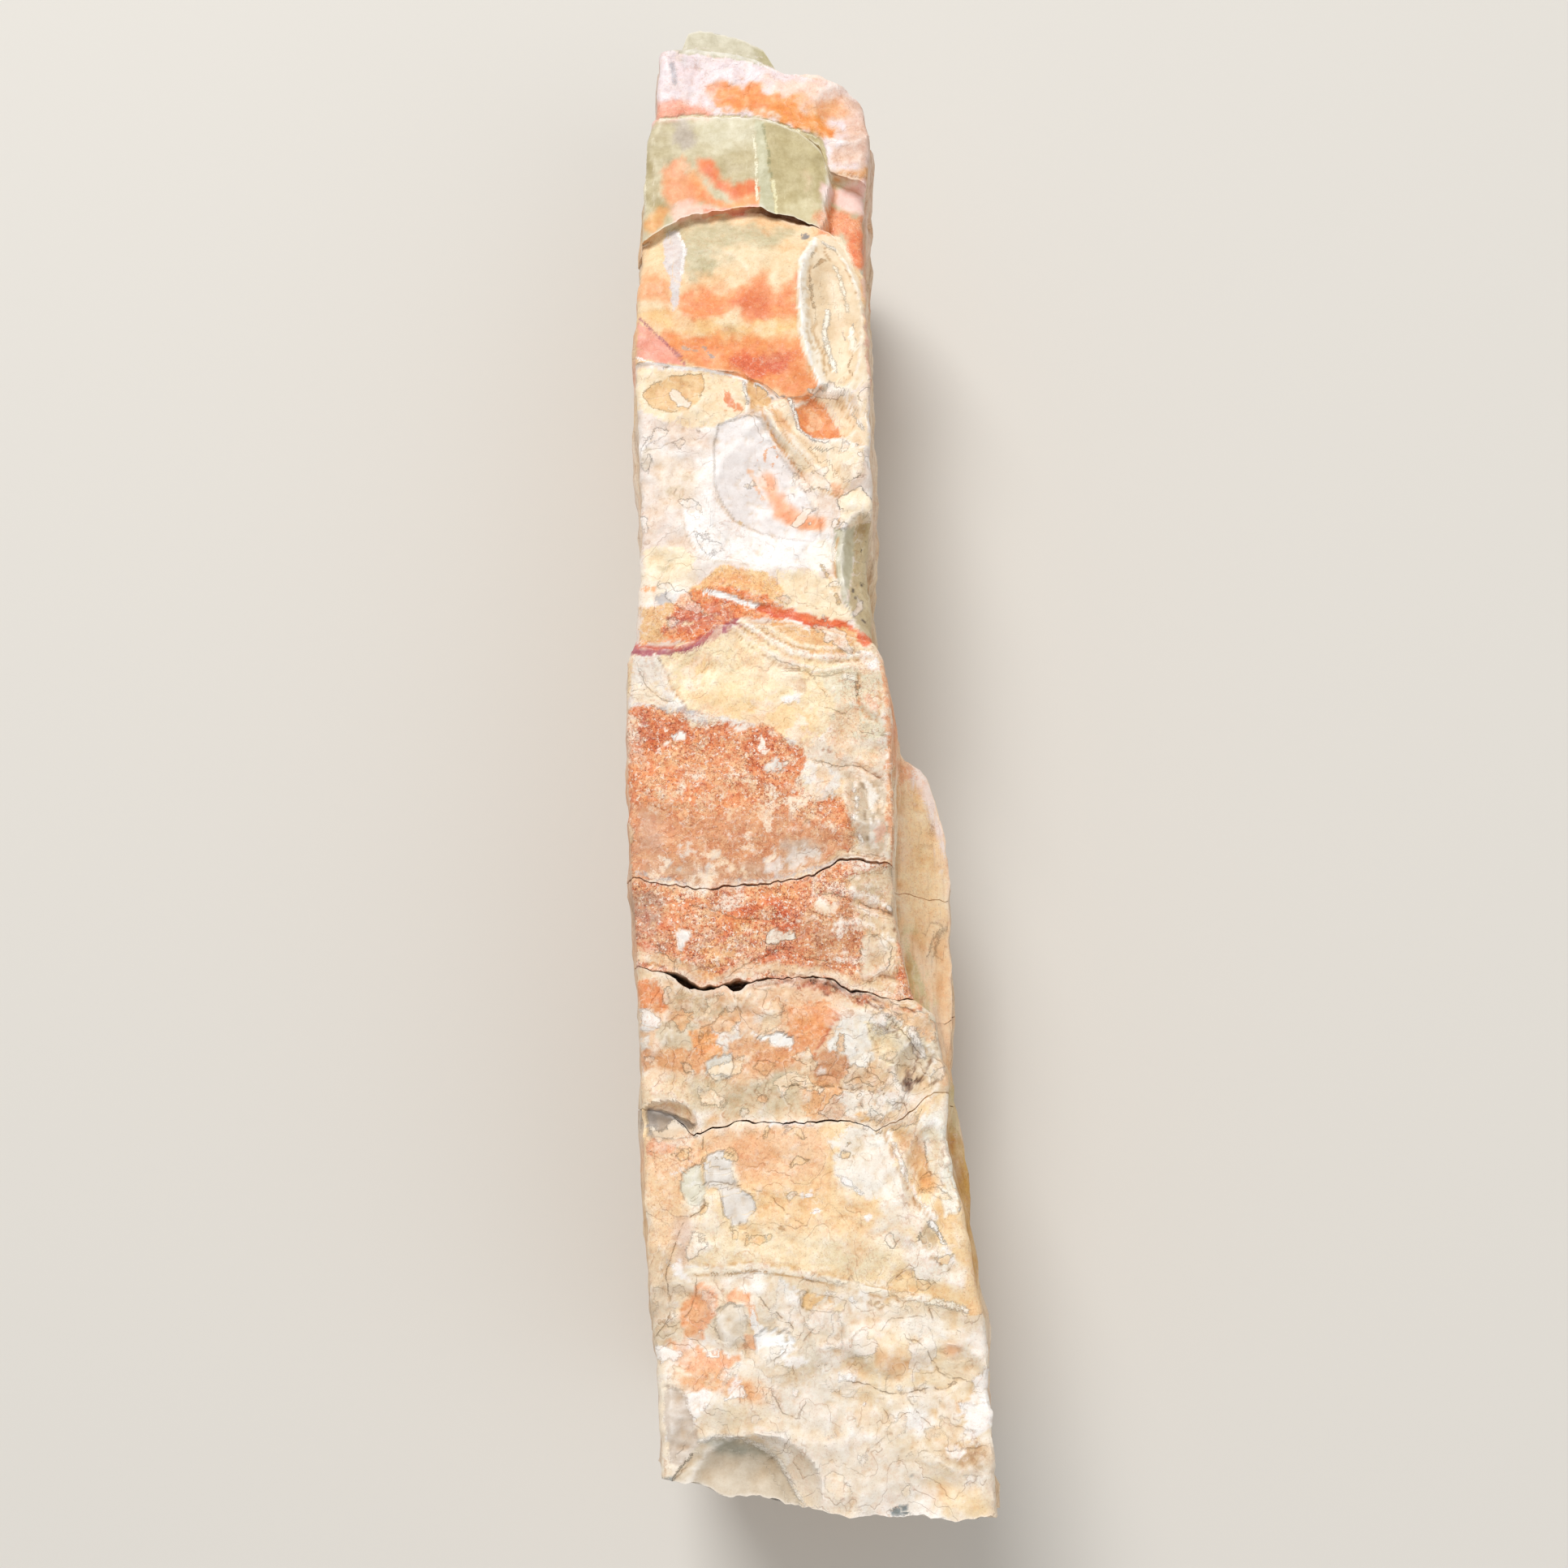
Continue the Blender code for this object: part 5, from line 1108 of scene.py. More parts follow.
BENCH_MARKS = placed(1060, 810, [
    area("orange", 0.8, "23,2 44,6 52,90 44,158 30,150 28,70", cover=0.8),
    area("rust", 1.2, "30,70 46,66 48,102 32,102", cover=0.8, grain=0.4),
    area("cream", 1.4, "30,140 44,136 56,290 60,420 40,416 34,250", grain=0.3),
    area("fbd9b2", 1.2, "42,108 64,128 86,148 98,190 114,230 118,278 116,430 58,430 48,290 42,190",
         grain=0.15),
    area("fddcaa", 3.0, "52,160 80,170 100,250 110,340 70,360 52,290", cover=0.9, grain=0.2),
    area("pink white", 1.8, "64,128 88,146 102,194 118,250 112,270 94,226 80,180 62,152", cover=0.9,
         grain=0.1),
    area("rust", 1.8, "42,126 64,134 70,152 46,158", cover=0.7, grain=0.4),
    spot("brown", 1.6, (87, 214), (5, 7), cover=0.7),
    streak("tan", 0.8, 1.0, "116,334 96,340 88,366", cover=0.7, lift=-0.25),
    area("dccd9c", 1.4, "52,340 64,350 82,420 88,450 62,434 56,390", cover=0.9),
    area("f9cf9f", 2.4, "90,340 120,340 120,590 106,590 100,450", cover=0.9),
    streak("brick", 1.6, 0.9, "0,414 36,422 66,430", cover=0.9, grain=0.4),
    area("c9b676", 3.2, "104,520 126,530 134,630 136,710 124,700 118,610", cover=0.9, ragged=1.6),
    area("cf9a44", 3.0, "112,590 144,600 154,790 140,800 112,710", ragged=1.8, grain=0.2),
])


def stained(marks):
    """The same marks soaked into smooth silica: their colours run into each other."""
    return [mark if mark.soft < 0.75 or mark.lift else
            mark._replace(soft=1.4 * mark.soft + 1.3, ragged=mark.ragged + 0.5)
            for mark in marks]


# The head's first marks and the block's first are their ground and keep crisp edges
HEAD_GROUND, BLOCK_GROUND = 4, 1
FACE_MARKS = (HEAD_MARKS[:HEAD_GROUND] + BLOCK_MARKS[:BLOCK_GROUND]
              + stained(HEAD_MARKS[HEAD_GROUND:] + BLOCK_MARKS[BLOCK_GROUND:]
                        + LOW_GROUND_MARKS + SHOULDER_MARKS)
              + SHELL_MARKS + WHITE_MARKS + BAND_MARKS + YELLOW_MARKS + RUST_MARKS
              + SECOND_RUST_MARKS + MOTTLED_MARKS + CREAM_MARKS + LOWER_MARKS)

# Thin dark lines where layers end: how dark, and where they run in the frame
CREASES = [
    (0.8, "866,1400 868,1420 866,1450 867,1484 842,1504 828,1530 822,1570 824,1600"),
    (0.9, "968,1341 1010,1340 1035,1342 1066,1344 1096,1350 1116,1354"),
    (0.5, "984,1330 1020,1326 1050,1332 1068,1330"),
    (0.7, "1072,1300 1070,1322 1064,1340"),
    (0.7, "1046,1384 1074,1376 1090,1362 1116,1358"),
    (0.8, "1096,1256 1120,1282 1140,1304"),
    (0.7, "1064,1240 1070,1268 1092,1306 1124,1318"),
    (0.6, "856,1470 880,1458 912,1460 940,1470 960,1490 990,1510"),
    (0.7, "938,1600 956,1618 976,1640 966,1664 950,1674"),
    (0.6, "824,1640 846,1618 856,1596 858,1580"),
    (0.7, "806,1660 818,1640 824,1622"),
    (0.8, "1050,1705 1074,1712 1098,1714 1130,1713 1158,1710 1180,1700"),
    (0.6, "1120,1650 1140,1664 1156,1690 1190,1700"),
    (0.5, "1118,1716 1130,1740 1146,1752"),
    (0.6, "952,1722 964,1744 984,1750 990,1734"),
    (0.5, "1090,1742 1098,1760 1080,1776"),
    (0.5, "950,1800 960,1790 970,1774"),
    (0.5, "832,1828 848,1806 852,1794"),
    (0.6, "1140,1790 1180,1786 1206,1784"),
    (0.5, "1000,1640 986,1660 974,1680 980,1700"),
    (0.5, "1086,1640 1100,1624 1130,1620"),
    (0.6, "1146,1610 1150,1630 1176,1636"),
    (0.5, "1018,870 1040,880 1060,900 1088,904"),
    (0.5, "970,826 1000,834 1030,830 1060,834"),
    (0.5, "956,812 990,828 1014,850"),
    (0.7, "776,850 784,846 790,848"),
    (0.6, "784,818 790,838 800,850 822,862"),
    (0.8, "996,934 1020,938 1040,948 1064,946 1084,958"),
    (0.7, "1036,1048 1060,1050 1088,1056"),
    (0.6, "830,1100 850,1116 880,1120 910,1132 960,1130"),
    (0.6, "900,1200 930,1180 970,1172 1020,1186"),
    (0.7, "1008,1098 1040,1104 1070,1120 1100,1128"),
    (0.6, "1004,1122 1036,1134 1064,1130"),
    (0.7, "780,1152 800,1160 812,1176 830,1184"),
    (0.5, "932,1216 946,1224 944,1236"),
    (0.5, "846,1262 860,1280 868,1306"),
]


def on_face(points):
    """Where the photograph's pixels fall on the plane of the face, in millimetres."""
    focal = PICTURE / 2 / math.tan(math.radians(FIELD_OF_VIEW / 2))
    tilt, above = math.radians(CAMERA_TILT), CAMERA[2] - FACE_HEIGHT
    found = []
    for across, down in points:
        forward = above * math.tan(tilt + math.atan((PICTURE / 2 - down) / focal))
        distance = forward * math.sin(tilt) + above * math.cos(tilt)
        sideways = (across - PICTURE / 2) / focal * distance
        found.append((CAMERA[0] + sideways, CAMERA[1] + forward))
    return found


def seen_at(x, y, z):
    """Where the camera sees a point of the stone against the plane of the face."""
    nearer = (CAMERA[2] - FACE_HEIGHT) / (CAMERA[2] - z)
    return CAMERA[0] + (x - CAMERA[0]) * nearer, CAMERA[1] + (y - CAMERA[1]) * nearer


def from_line(u, v, points, closed=False):
    """Distance to a line, below zero on its right, and for a closed one on its outside."""
    nearest = np.full(len(u), np.inf)
    side = np.ones(len(u))
    inside = np.zeros(len(u), bool)
    ends = points[1:] + points[:1] if closed else points[1:]
    for (ax, ay), (bx, by) in zip(points, ends):
        run_x, run_y = bx - ax, by - ay
        share = np.clip(((u - ax) * run_x + (v - ay) * run_y) / (run_x ** 2 + run_y ** 2), 0, 1)
        gap = np.hypot(u - ax - share * run_x, v - ay - share * run_y)
        turned = np.sign(run_x * (v - ay) - run_y * (u - ax))
        side = np.where(gap < nearest, turned, side)
        nearest = np.minimum(nearest, gap)
        if closed:
            crosses = (ay > v) != (by > v)
            reach = ax + (v - ay) * run_x / (run_y if run_y else 1e-9)
            inside ^= crosses & (u < reach)
    return nearest * (np.where(inside, 1.0, -1.0) if closed else side)


def rgb(code):
    """The red, green and blue of an sRGB hex colour, from 0 to 1."""
    return np.array([int(code[start:start + 2], 16) for start in (0, 2, 4)]) / 255.0


EDGE_BAND, EDGE_REACH = 1.2, 2.0    # how far each side of its edge a patch keeps two tones
DIFFUSE = 2.3                       # marks softer than this have no edge of their own
STRAY, CRACK_STRAY = 5.0, 3.0       # how far a mark and a crack can stray off their points
INK_REACH, INK_FADE = 1.6, 0.7      # how far a dark line is known, and its fade out there
NO_CREASE = 9.0                     # stands for no dark line within reach
PLAIN_GRAIN = 0.15                  # how granular the skin is where nothing is laid on it


class Coat:
    """What is laid over some vertices: two tones and the edge between them, rust grain,
    lift and dark lines. The material draws the edges, finer than the mesh could."""

    def __init__(self, u, v, tint):
        self.u, self.v = u, v
        self.under, self.over = tint.copy(), tint.copy()
        self.edge = np.full(len(u), -EDGE_REACH)
        self.soft, self.step, self.grain = np.zeros(len(u)), np.zeros(len(u)), np.zeros(len(u))
        self.lift, self.flaky = np.zeros(len(u)), np.full(len(u), 0.3)
        self.crease = np.full(len(u), NO_CREASE)
        self.ink = np.zeros(len(u))
        self.bend = (rough(u, v, 200.0, 6.0, 4), rough(u, v, 260.0, 6.0, 4))
        self.nibble = rough(u, v, 230.0, 1.6, 3)
        self.cloud = rough(u, v, 290.0, 4.5, 5)

    def shown(self, near):
        """The tone that shows at each vertex so far."""
        return mix(self.under[near], self.over[near], (self.edge[near, None] > 0.0) * 1.0)

    def reach(self, points, margin):
        """The vertices near a set of points."""
        low, high = np.min(points, 0) - margin, np.max(points, 0) + margin
        near = (self.u > low[0]) & (self.u < high[0]) & (self.v > low[1]) & (self.v < high[1])
        return np.flatnonzero(near)

    def draw(self, near, signed, darkness):
        """Keeps the nearest dark line: its distance, and its darkness close to it."""
        ink = darkness * ease((INK_REACH - np.abs(signed)) / INK_FADE)
        wins = (ink > 0.0) & (np.abs(signed) < np.abs(self.crease[near]))
        self.crease[near[wins]] = signed[wins]
        self.ink[near[wins]] = ink[wins]

    def lay(self, mark, points):
        """Lays a mark over what is there, inside or along its points."""
        near = self.reach(points, STRAY + (mark.width or 0.0))
        if not len(near):
            return
        u = self.u[near] + mark.ragged * self.bend[0][near]
        v = self.v[near] + mark.ragged * self.bend[1][near]
        signed = from_line(u, v, points, mark.width is None)
        inside = signed if mark.width is None else mark.width / 2 - np.abs(signed)
        inside = inside + 0.6 * mark.ragged * self.nibble[near]
        inside = inside + 0.45 * mark.soft * mark.ragged * self.cloud[near]
        shown, tone = self.shown(near), rgb(TONES.get(mark.tone, mark.tone))
        tone = mix(shown, tone, mark.cover)
        amount = ease(inside / mark.soft + 0.5)
        if mark.soft > DIFFUSE:
            for kept in (self.under, self.over):
                kept[near] = mix(kept[near], tone, amount[:, None])
        else:
            fading = EDGE_REACH - EDGE_BAND
            touched = inside > -EDGE_REACH
            here = near[touched]
            over = mix(shown, tone, ease((inside + EDGE_REACH) / fading)[:, None])
            under = mix(shown, tone, ease((inside - EDGE_BAND) / fading)[:, None])
            self.over[here], self.under[here] = over[touched], under[touched]
            self.edge[here] = np.clip(inside[touched], -EDGE_REACH, EDGE_REACH)
            self.soft[here], self.step[here] = mark.soft, mark.lift
        if mark.grain is not None:
            self.grain[near] += (mark.grain - self.grain[near]) * amount * mark.cover
        if mark.grain == 0.0:
            self.flaky[near] *= 1.0 - 0.9 * amount
        if mark.lift:
            self.lift[near] += mark.lift * ease(inside / 1.2 + 0.5)
        if mark.ink:
            self.draw(near, inside, mark.ink)

    def crack(self, darkness, points):
        """A thin dark line with a groove along it."""
        near = self.reach(points, CRACK_STRAY)
        if len(near):
            u = self.u[near] + 0.9 * self.bend[0][near] + 0.25 * self.nibble[near]
            v = self.v[near] + 0.9 * self.bend[1][near] + 0.25 * self.nibble[near]
            signed = from_line(u, v, points)
            self.draw(near, signed, darkness)
            self.lift[near] -= 0.3 * darkness * ease(1.0 - np.abs(signed) / 0.7)


CHIP_COUNT, CHIP_SEED, CHIP_CORNERS = 760, 7, 10
CHIP_SPAN = (-166.0, 152.0)         # the stretch of y that chips are strewn over


def chips():
    """Small flaked patches strewn over the face: the middle and outline of each, and two
    shares that choose its look."""
    draw = np.random.RandomState(CHIP_SEED)
    for _ in range(CHIP_COUNT):
        v = draw.uniform(*CHIP_SPAN)
        middle = (draw.uniform(along(LEFT_EDGE, v) + 1.0, along(RIGHT_EDGE, v)), v)
        size = 0.7 + 2.6 * draw.rand() ** 2.5
        stretch, turn = draw.uniform(1.0, 2.6), draw.uniform(0.0, math.pi)
        points = []
        for step in range(CHIP_CORNERS):
            angle = math.tau * step / CHIP_CORNERS
            radius = size * draw.uniform(0.35, 1.35)
            a, b = radius * stretch * math.cos(angle), radius * math.sin(angle)
            points.append((middle[0] + a * math.cos(turn) - b * math.sin(turn),
                           middle[1] + a * math.sin(turn) + b * math.cos(turn)))
        yield middle, points, draw.rand(), draw.rand()


# Zones from the wide end, with how often chips show there and the tones they bare
CHIP_TONES = {
    LOWER: (0.5, ("chalk", "f3e2c8", "ead8bf", "f1e7da", "f4e9da", "bright")),
    CREAM: (0.4, ("chalk", "f6d5a3", "fbf0dd", "f0cd9c")),
    MOTTLED: (0.6, ("grey white", "eab684", "chalk", "e3c29c", "f2d9b6")),
    RUST_TWO: (0.6, ("f6dcc0", "dba57c", "fbeee0", "f0b47c")),
    RUST_ONE: (0.5, ("fae8d4", "f4d5b0", "f8e2c8")),
    WHITE: (0.2, ("bright", "f3e2d2", "eedbc8")),
}


def zone_at(x, y):
    """Which zone of the face a place lies in."""
    return int(sum(along(line[0], x) < y for line in LINES[1:-1]))


def face_coat(zone, u, v):
    """The colours, lines and low relief of the broken face."""
    patches = rough(u, v, 300.0, 11.0, 5)
    clouds = rough(u, v, 330.0, 4.0, 4)
    tint, grain_of, flaky = np.zeros((len(u), 3)), np.zeros(len(u)), np.zeros(len(u))
    for number, tones in ZONE_TONES.items():
        mine = zone == number
        main, darker, lighter = (rgb(code) for code in tones)
        dark = ease((patches[mine] + 0.5 * clouds[mine]) / 0.55)[:, None]
        light = ease((-patches[mine] + 0.6 * clouds[mine]) / 0.5)[:, None]
        tint[mine] = mix(mix(main, darker, 0.8 * dark), lighter, 0.9 * light)
        flaky[mine], grain_of[mine] = BREAK_OF_ZONE[number][1], BREAK_OF_ZONE[number][3]
    coat = Coat(u, v, tint)
    coat.grain[:], coat.flaky[:] = grain_of, flaky
    for mark in FACE_MARKS:
        coat.lay(mark, on_face(mark.points))
    for middle, points, chance, which in chips():
        there = zone_at(*middle)
        often, tones = CHIP_TONES.get(there, (0.0, ("cream",)))
        if chance < often:
            rusty, inked = there in (RUST_ONE, RUST_TWO), there in (CREAM, MOTTLED)
            lift = (0.2 if which > 0.5 else -0.2) * (not rusty) * (0.6 if there == LOWER else 1.0)
            coat.lay(area(tones[int(which * len(tones))], 0.4 + chance + 0.4 * rusty, "",
                          0.45 + 0.5 * which, lift, 1.4 + 0.8 * rusty,
                          0.4 * (chance < 0.15) * inked), points)
    for mark in END_SCAR_MARKS:
        coat.lay(mark, on_face(mark.points))
    for darkness, line in CREASES:
        coat.crack(darkness, on_face(traced(line)))
    return coat


PITH = (-8.0, -46.0)        # x and height of the trunk's middle, below the stone
BLUR_ROUNDS = 10            # how far the face's colours run together before they run down
EDGE_COLUMNS = 5            # columns at the face's edges whose colours aren't carried down
HOLLOW_ROUNDS, GROOVE_ROUNDS = 26, 4    # smoothing against which hollows and grooves show
# Tones of the wood away from the face, and how much two noises bring each of them out
SIDE_TONES = {
    "tan": (1.2, 0.3), "ochre": (0.5, 1.2), "cream": (-1.1, 0.8), "dusty pink": (-1.2, -0.6),
    "olive": (0.2, -1.5), "peach": (1.0, -0.9),
}


def ring_distance(x, y, z):
    """How far out in the trunk a point lies, in millimetres from its pith."""
    warp = 2.5 * rough(x, y / 5.0, z, 24.0, 3)
    return np.hypot(x - PITH[0], z - PITH[1]) + warp


def blurred(grid, times):
    """Averages a grid of values with its neighbours, a number of times."""
    for _ in range(times):
        for axis in (0, 1):
            before, after = np.roll(grid, 1, axis), np.roll(grid, -1, axis)
            edge = [slice(None)] * grid.ndim
            edge[axis] = [0, -1]
            kept = grid[tuple(edge)].copy()
            grid = (before + 2.0 * grid + after) / 4.0
            grid[tuple(edge)] = kept
    return grid


def grown_colour(x, y, z):
    """Colour of the wood away from the face, in long bands along the grain."""
    first = rough(x, y / 5.0, z, 12.0, 4)
    second = rough(x + 90.0, y / 4.0, z, 9.0, 4)
    weights = [ease(0.6 + first * one + second * other) ** 3 + 0.02
               for one, other in SIDE_TONES.values()]
    total = sum(weights)[:, None]
    return sum(weight[:, None] * rgb(TONES[tone])
               for weight, tone in zip(weights, SIDE_TONES)) / total


def side_tints(skin, coat, x, y, z):
    """Colours of the whole skin: the face's bands run on down the sides and fade there."""
    grid = np.zeros((len(ROWS), COLUMNS + 1, 3))
    face = skin.on_face
    grid[skin.row[face], skin.column[face]] = coat.shown(np.arange(len(coat.u)))
    grid = blurred(grid, BLUR_ROUNDS)
    wander = 30.0 * rough(x, y / 3.0, z, 30.0, 3) * ease(3.0 * skin.depth)
    row = np.clip(np.round(skin.row + wander), 0, len(ROWS) - 1).astype(int)
    inset = np.clip(skin.column, EDGE_COLUMNS, COLUMNS - EDGE_COLUMNS)
    share = 0.35 + 0.4 * ease(1.6 * skin.depth)
    return mix(grid[row, inset], grown_colour(x, y, z), share[:, None])


def crack_shadow(skin, x):
    """How dark each vertex is painted for lying down in a crack: painted shade, deepest at the crack's
    middle.
    """
    within = (skin.in_line > 0) & skin.opens & (skin.on_face | (skin.height > 0.8))
    deep = ease((crack_profile(skin.across_line) - 0.25) / 0.5)
    half = sum(line_half(index, x, 0.0) * (skin.zone + 1 == index) for index in OPENNESS)
    opened = sum(along(OPENNESS[index], x) * (skin.zone + 1 == index) for index in OPENNESS)
    gaping = np.where(skin.zone + 1 == GAP_LINE, 0.8, 0.5 + 0.45 * ease((half - 0.12) / 0.45))
    return np.where(within, gaping * deep * opened ** 0.7, 0.0)


def hollows(mesh, places, rounds):
    """How far each vertex stands proud of its neighbourhood, in millimetres."""
    ends = np.zeros(len(mesh.edges) * 2, np.int32)
    mesh.edges.foreach_get("vertices", ends)
    first, second = ends.reshape(-1, 2).T
    count = np.bincount(ends, minlength=len(places))[:, None]
    smooth = places
    for _ in range(rounds):
        total = np.stack([np.bincount(first, smooth[second, axis], len(places))
                          + np.bincount(second, smooth[first, axis], len(places))
                          for axis in range(3)], -1)
        smooth = total / count
    normals = np.zeros(len(places) * 3, np.float32)
    mesh.vertices.foreach_get("normal", normals)
    return ((places - smooth) * normals.reshape(-1, 3)).sum(1)


def mesh_of(tool, name):
    """A mesh of what the tool has built."""
    mesh = bpy.data.meshes.new(name)
    tool.to_mesh(mesh)
    tool.free()
    return mesh


def put(name, data):
    """An object in the scene with its data."""
    item = bpy.data.objects.new(name, data)
    bpy.context.scene.collection.objects.link(item)
    return item


def blank_stone():
    """A cube cut into rows, columns and layers, each cell finer on the broken face."""
    tool = bmesh.new()
    bmesh.ops.create_cube(tool, size=1.0)
    for axis, cells in ((1, len(ROWS) // FINE), (0, COLUMNS // FINE), (2, LAYERS)):
        edges = [edge for edge in tool.edges
                 if abs(edge.verts[0].co[axis] - edge.verts[1].co[axis]) > 0.5]
        bmesh.ops.subdivide_edges(tool, edges=edges, cuts=cells - 1, use_grid_fill=True)
    for axis in (1, 0):
        edges = [edge for edge in tool.edges
                 if min(vert.co.z for vert in edge.verts) > 0.4999
                 and abs(edge.verts[0].co[axis] - edge.verts[1].co[axis]) > 1e-4]
        bmesh.ops.subdivide_edges(tool, edges=edges, cuts=FINE - 1, use_grid_fill=True)
    return mesh_of(tool, "petrified_wood_stone")


def keep(mesh, name, values):
    """Stores one number for each vertex, for the material to read."""
    mesh.attributes.new(name, "FLOAT", "POINT").data.foreach_set("value", values.astype("f"))


def linear(colour):
    """Turns sRGB colours from 0 to 1 into linear ones."""
    colour = np.asarray(colour)
    return np.where(colour <= 0.04045, colour / 12.92, ((colour + 0.055) / 1.055) ** 2.4)


def bench_coat(skin, x, y, z, tints):
    """The vertices at and below the right edge, and what is laid over them. It fades out
    down the wall, but not on the bench."""
    bench = np.flatnonzero((skin.column >= COLUMNS - 1) & ~skin.on_face
                           & (skin.height > LIP_SHARE))
    coat = Coat(*seen_at(x[bench], y[bench], z[bench]), tints[bench])
    coat.grain[:] = PLAIN_GRAIN
    for mark in BENCH_MARKS:
        coat.lay(mark, on_face(mark.points))
    lasting = ease((skin.height - LIP_SHARE - 0.1) / 0.3
                   + 0.9 * rough(x, y / 2.0, z, 16.0, 4))[bench]
    lasting = mix(lasting, 1.0, benched_at(y[bench]))[:, None]
    coat.under, coat.over = (mix(tints[bench], tint, lasting)
                             for tint in (coat.under, coat.over))
    return bench, coat


def painted_relief_light(tints, mesh, skin, places):
    """Each set of tints as linear colours with painted light: warmer painted shade in hollows,
    white painted highlights on small crests, darker painted shade in grooves and dark painted shade in the
    cracks."""
    proud, fine = hollows(mesh, places, HOLLOW_ROUNDS), hollows(mesh, places, GROOVE_ROUNDS)
    pits = ease((-proud - 0.3) / 1.4)[:, None]
    inner = np.minimum(skin.column, COLUMNS - skin.column) > 3
    crests = ease((fine - 0.03) / 0.22) * np.where(skin.on_face & inner, 0.45, 0.1)
    grooves = ease((-fine - 0.03) / 0.2)[:, None]
    shadow = crack_shadow(skin, places[:, 0])[:, None]
    # deep: the tone of the painted shade, for the gap and for the cracks
    deep = np.where((skin.zone + 1 == GAP_LINE)[:, None], rgb(TONES["gap"]),
                    rgb(TONES["crack"]))
    for tint in tints:
        tint = mix(tint, tint * rgb(TONES["honey"]), 0.4 * pits)
        tint = mix(tint, rgb(TONES["bright"]), crests[:, None])
        tint = tint * (1.0 - 0.35 * grooves * (1.0 - rgb(TONES["tan"])))
        yield linear(np.clip(mix(tint, deep, shadow), 0.0, 1.0))


def shape_stone(relief):
    """The whole stone as one closed mesh, with the colours and marks of its skin."""
    mesh = blank_stone()
    count = len(mesh.vertices)
    places = np.zeros(count * 3, np.float32)
    mesh.vertices.foreach_get("co", places)
    cells = (COLUMNS, len(ROWS) - 1, LAYERS)
    grid = np.round((places.reshape(-1, 3) + 0.5) * cells).astype(int)
    skin = Skin(*grid.T)
    face = skin.on_face
    x, y, z, coat = place_skin(skin, relief)
    places = np.stack([x, y, z], -1)
    mesh.vertices.foreach_set("co", ((places - (*MIDDLE, 0.0)) * MM).ravel())
    mesh.update()
    under = side_tints(skin, coat, x, y, z)
    over = under.copy()
    ends = (skin.on_wide_end | skin.on_narrow_end) & ~face
    plain = {"edge": -EDGE_REACH, "soft": 0.0, "step": 0.0, "grain": PLAIN_GRAIN,
             "crease": NO_CREASE, "ink": 0.0, "flaky": 0.5}
    looks = {name: np.full(count, value) for name, value in plain.items()}
    for where, layer in ((np.flatnonzero(face), coat), bench_coat(skin, x, y, z, under)):
        under[where], over[where] = layer.under, layer.over
        for name, values in looks.items():
            values[where] = getattr(layer, name)
    # The tint and patch colours hold painted shade and highlights from the relief and the cracks
    for name, tint in zip(("tint", "patch"), painted_relief_light((under, over), mesh, skin, places)):
        colours = np.column_stack((tint, np.ones(count)))
        mesh.attributes.new(name, "FLOAT_COLOR", "POINT").data.foreach_set(
            "color", colours.ravel())
    on_bench = skin.on_right & (skin.height > LIP_SHARE) & (skin.height < FOOT_SHARE)
    fibre = np.where(on_bench & (y < BENCH_EDGE[-1][0]), 0.35, 1.0) * (~face & ~ends)
    looks.update(fibre=fibre, broken_end=ends, ring=ring_distance(x, y, z))
    for name, values in looks.items():
        keep(mesh, name, values)
    mesh.shade_smooth()
    mesh.set_sharp_from_angle(angle=math.radians(SHARP_ANGLE))
    return mesh


def add(tree, kind, inputs=None, **settings):
    """Adds a node with its settings, and with a value or a link on each named input."""
    node = tree.nodes.new(kind)
    for name, value in settings.items():
        setattr(node, name, value)
    for name, value in (inputs or {}).items():
        if isinstance(value, bpy.types.NodeSocket):
            tree.links.new(value, node.inputs[name])
        else:
            node.inputs[name].default_value = value
    return node


def hexed(code):
    """An sRGB hex colour as a linear one with full alpha, for a node."""
    return (*linear(rgb(code)), 1.0)


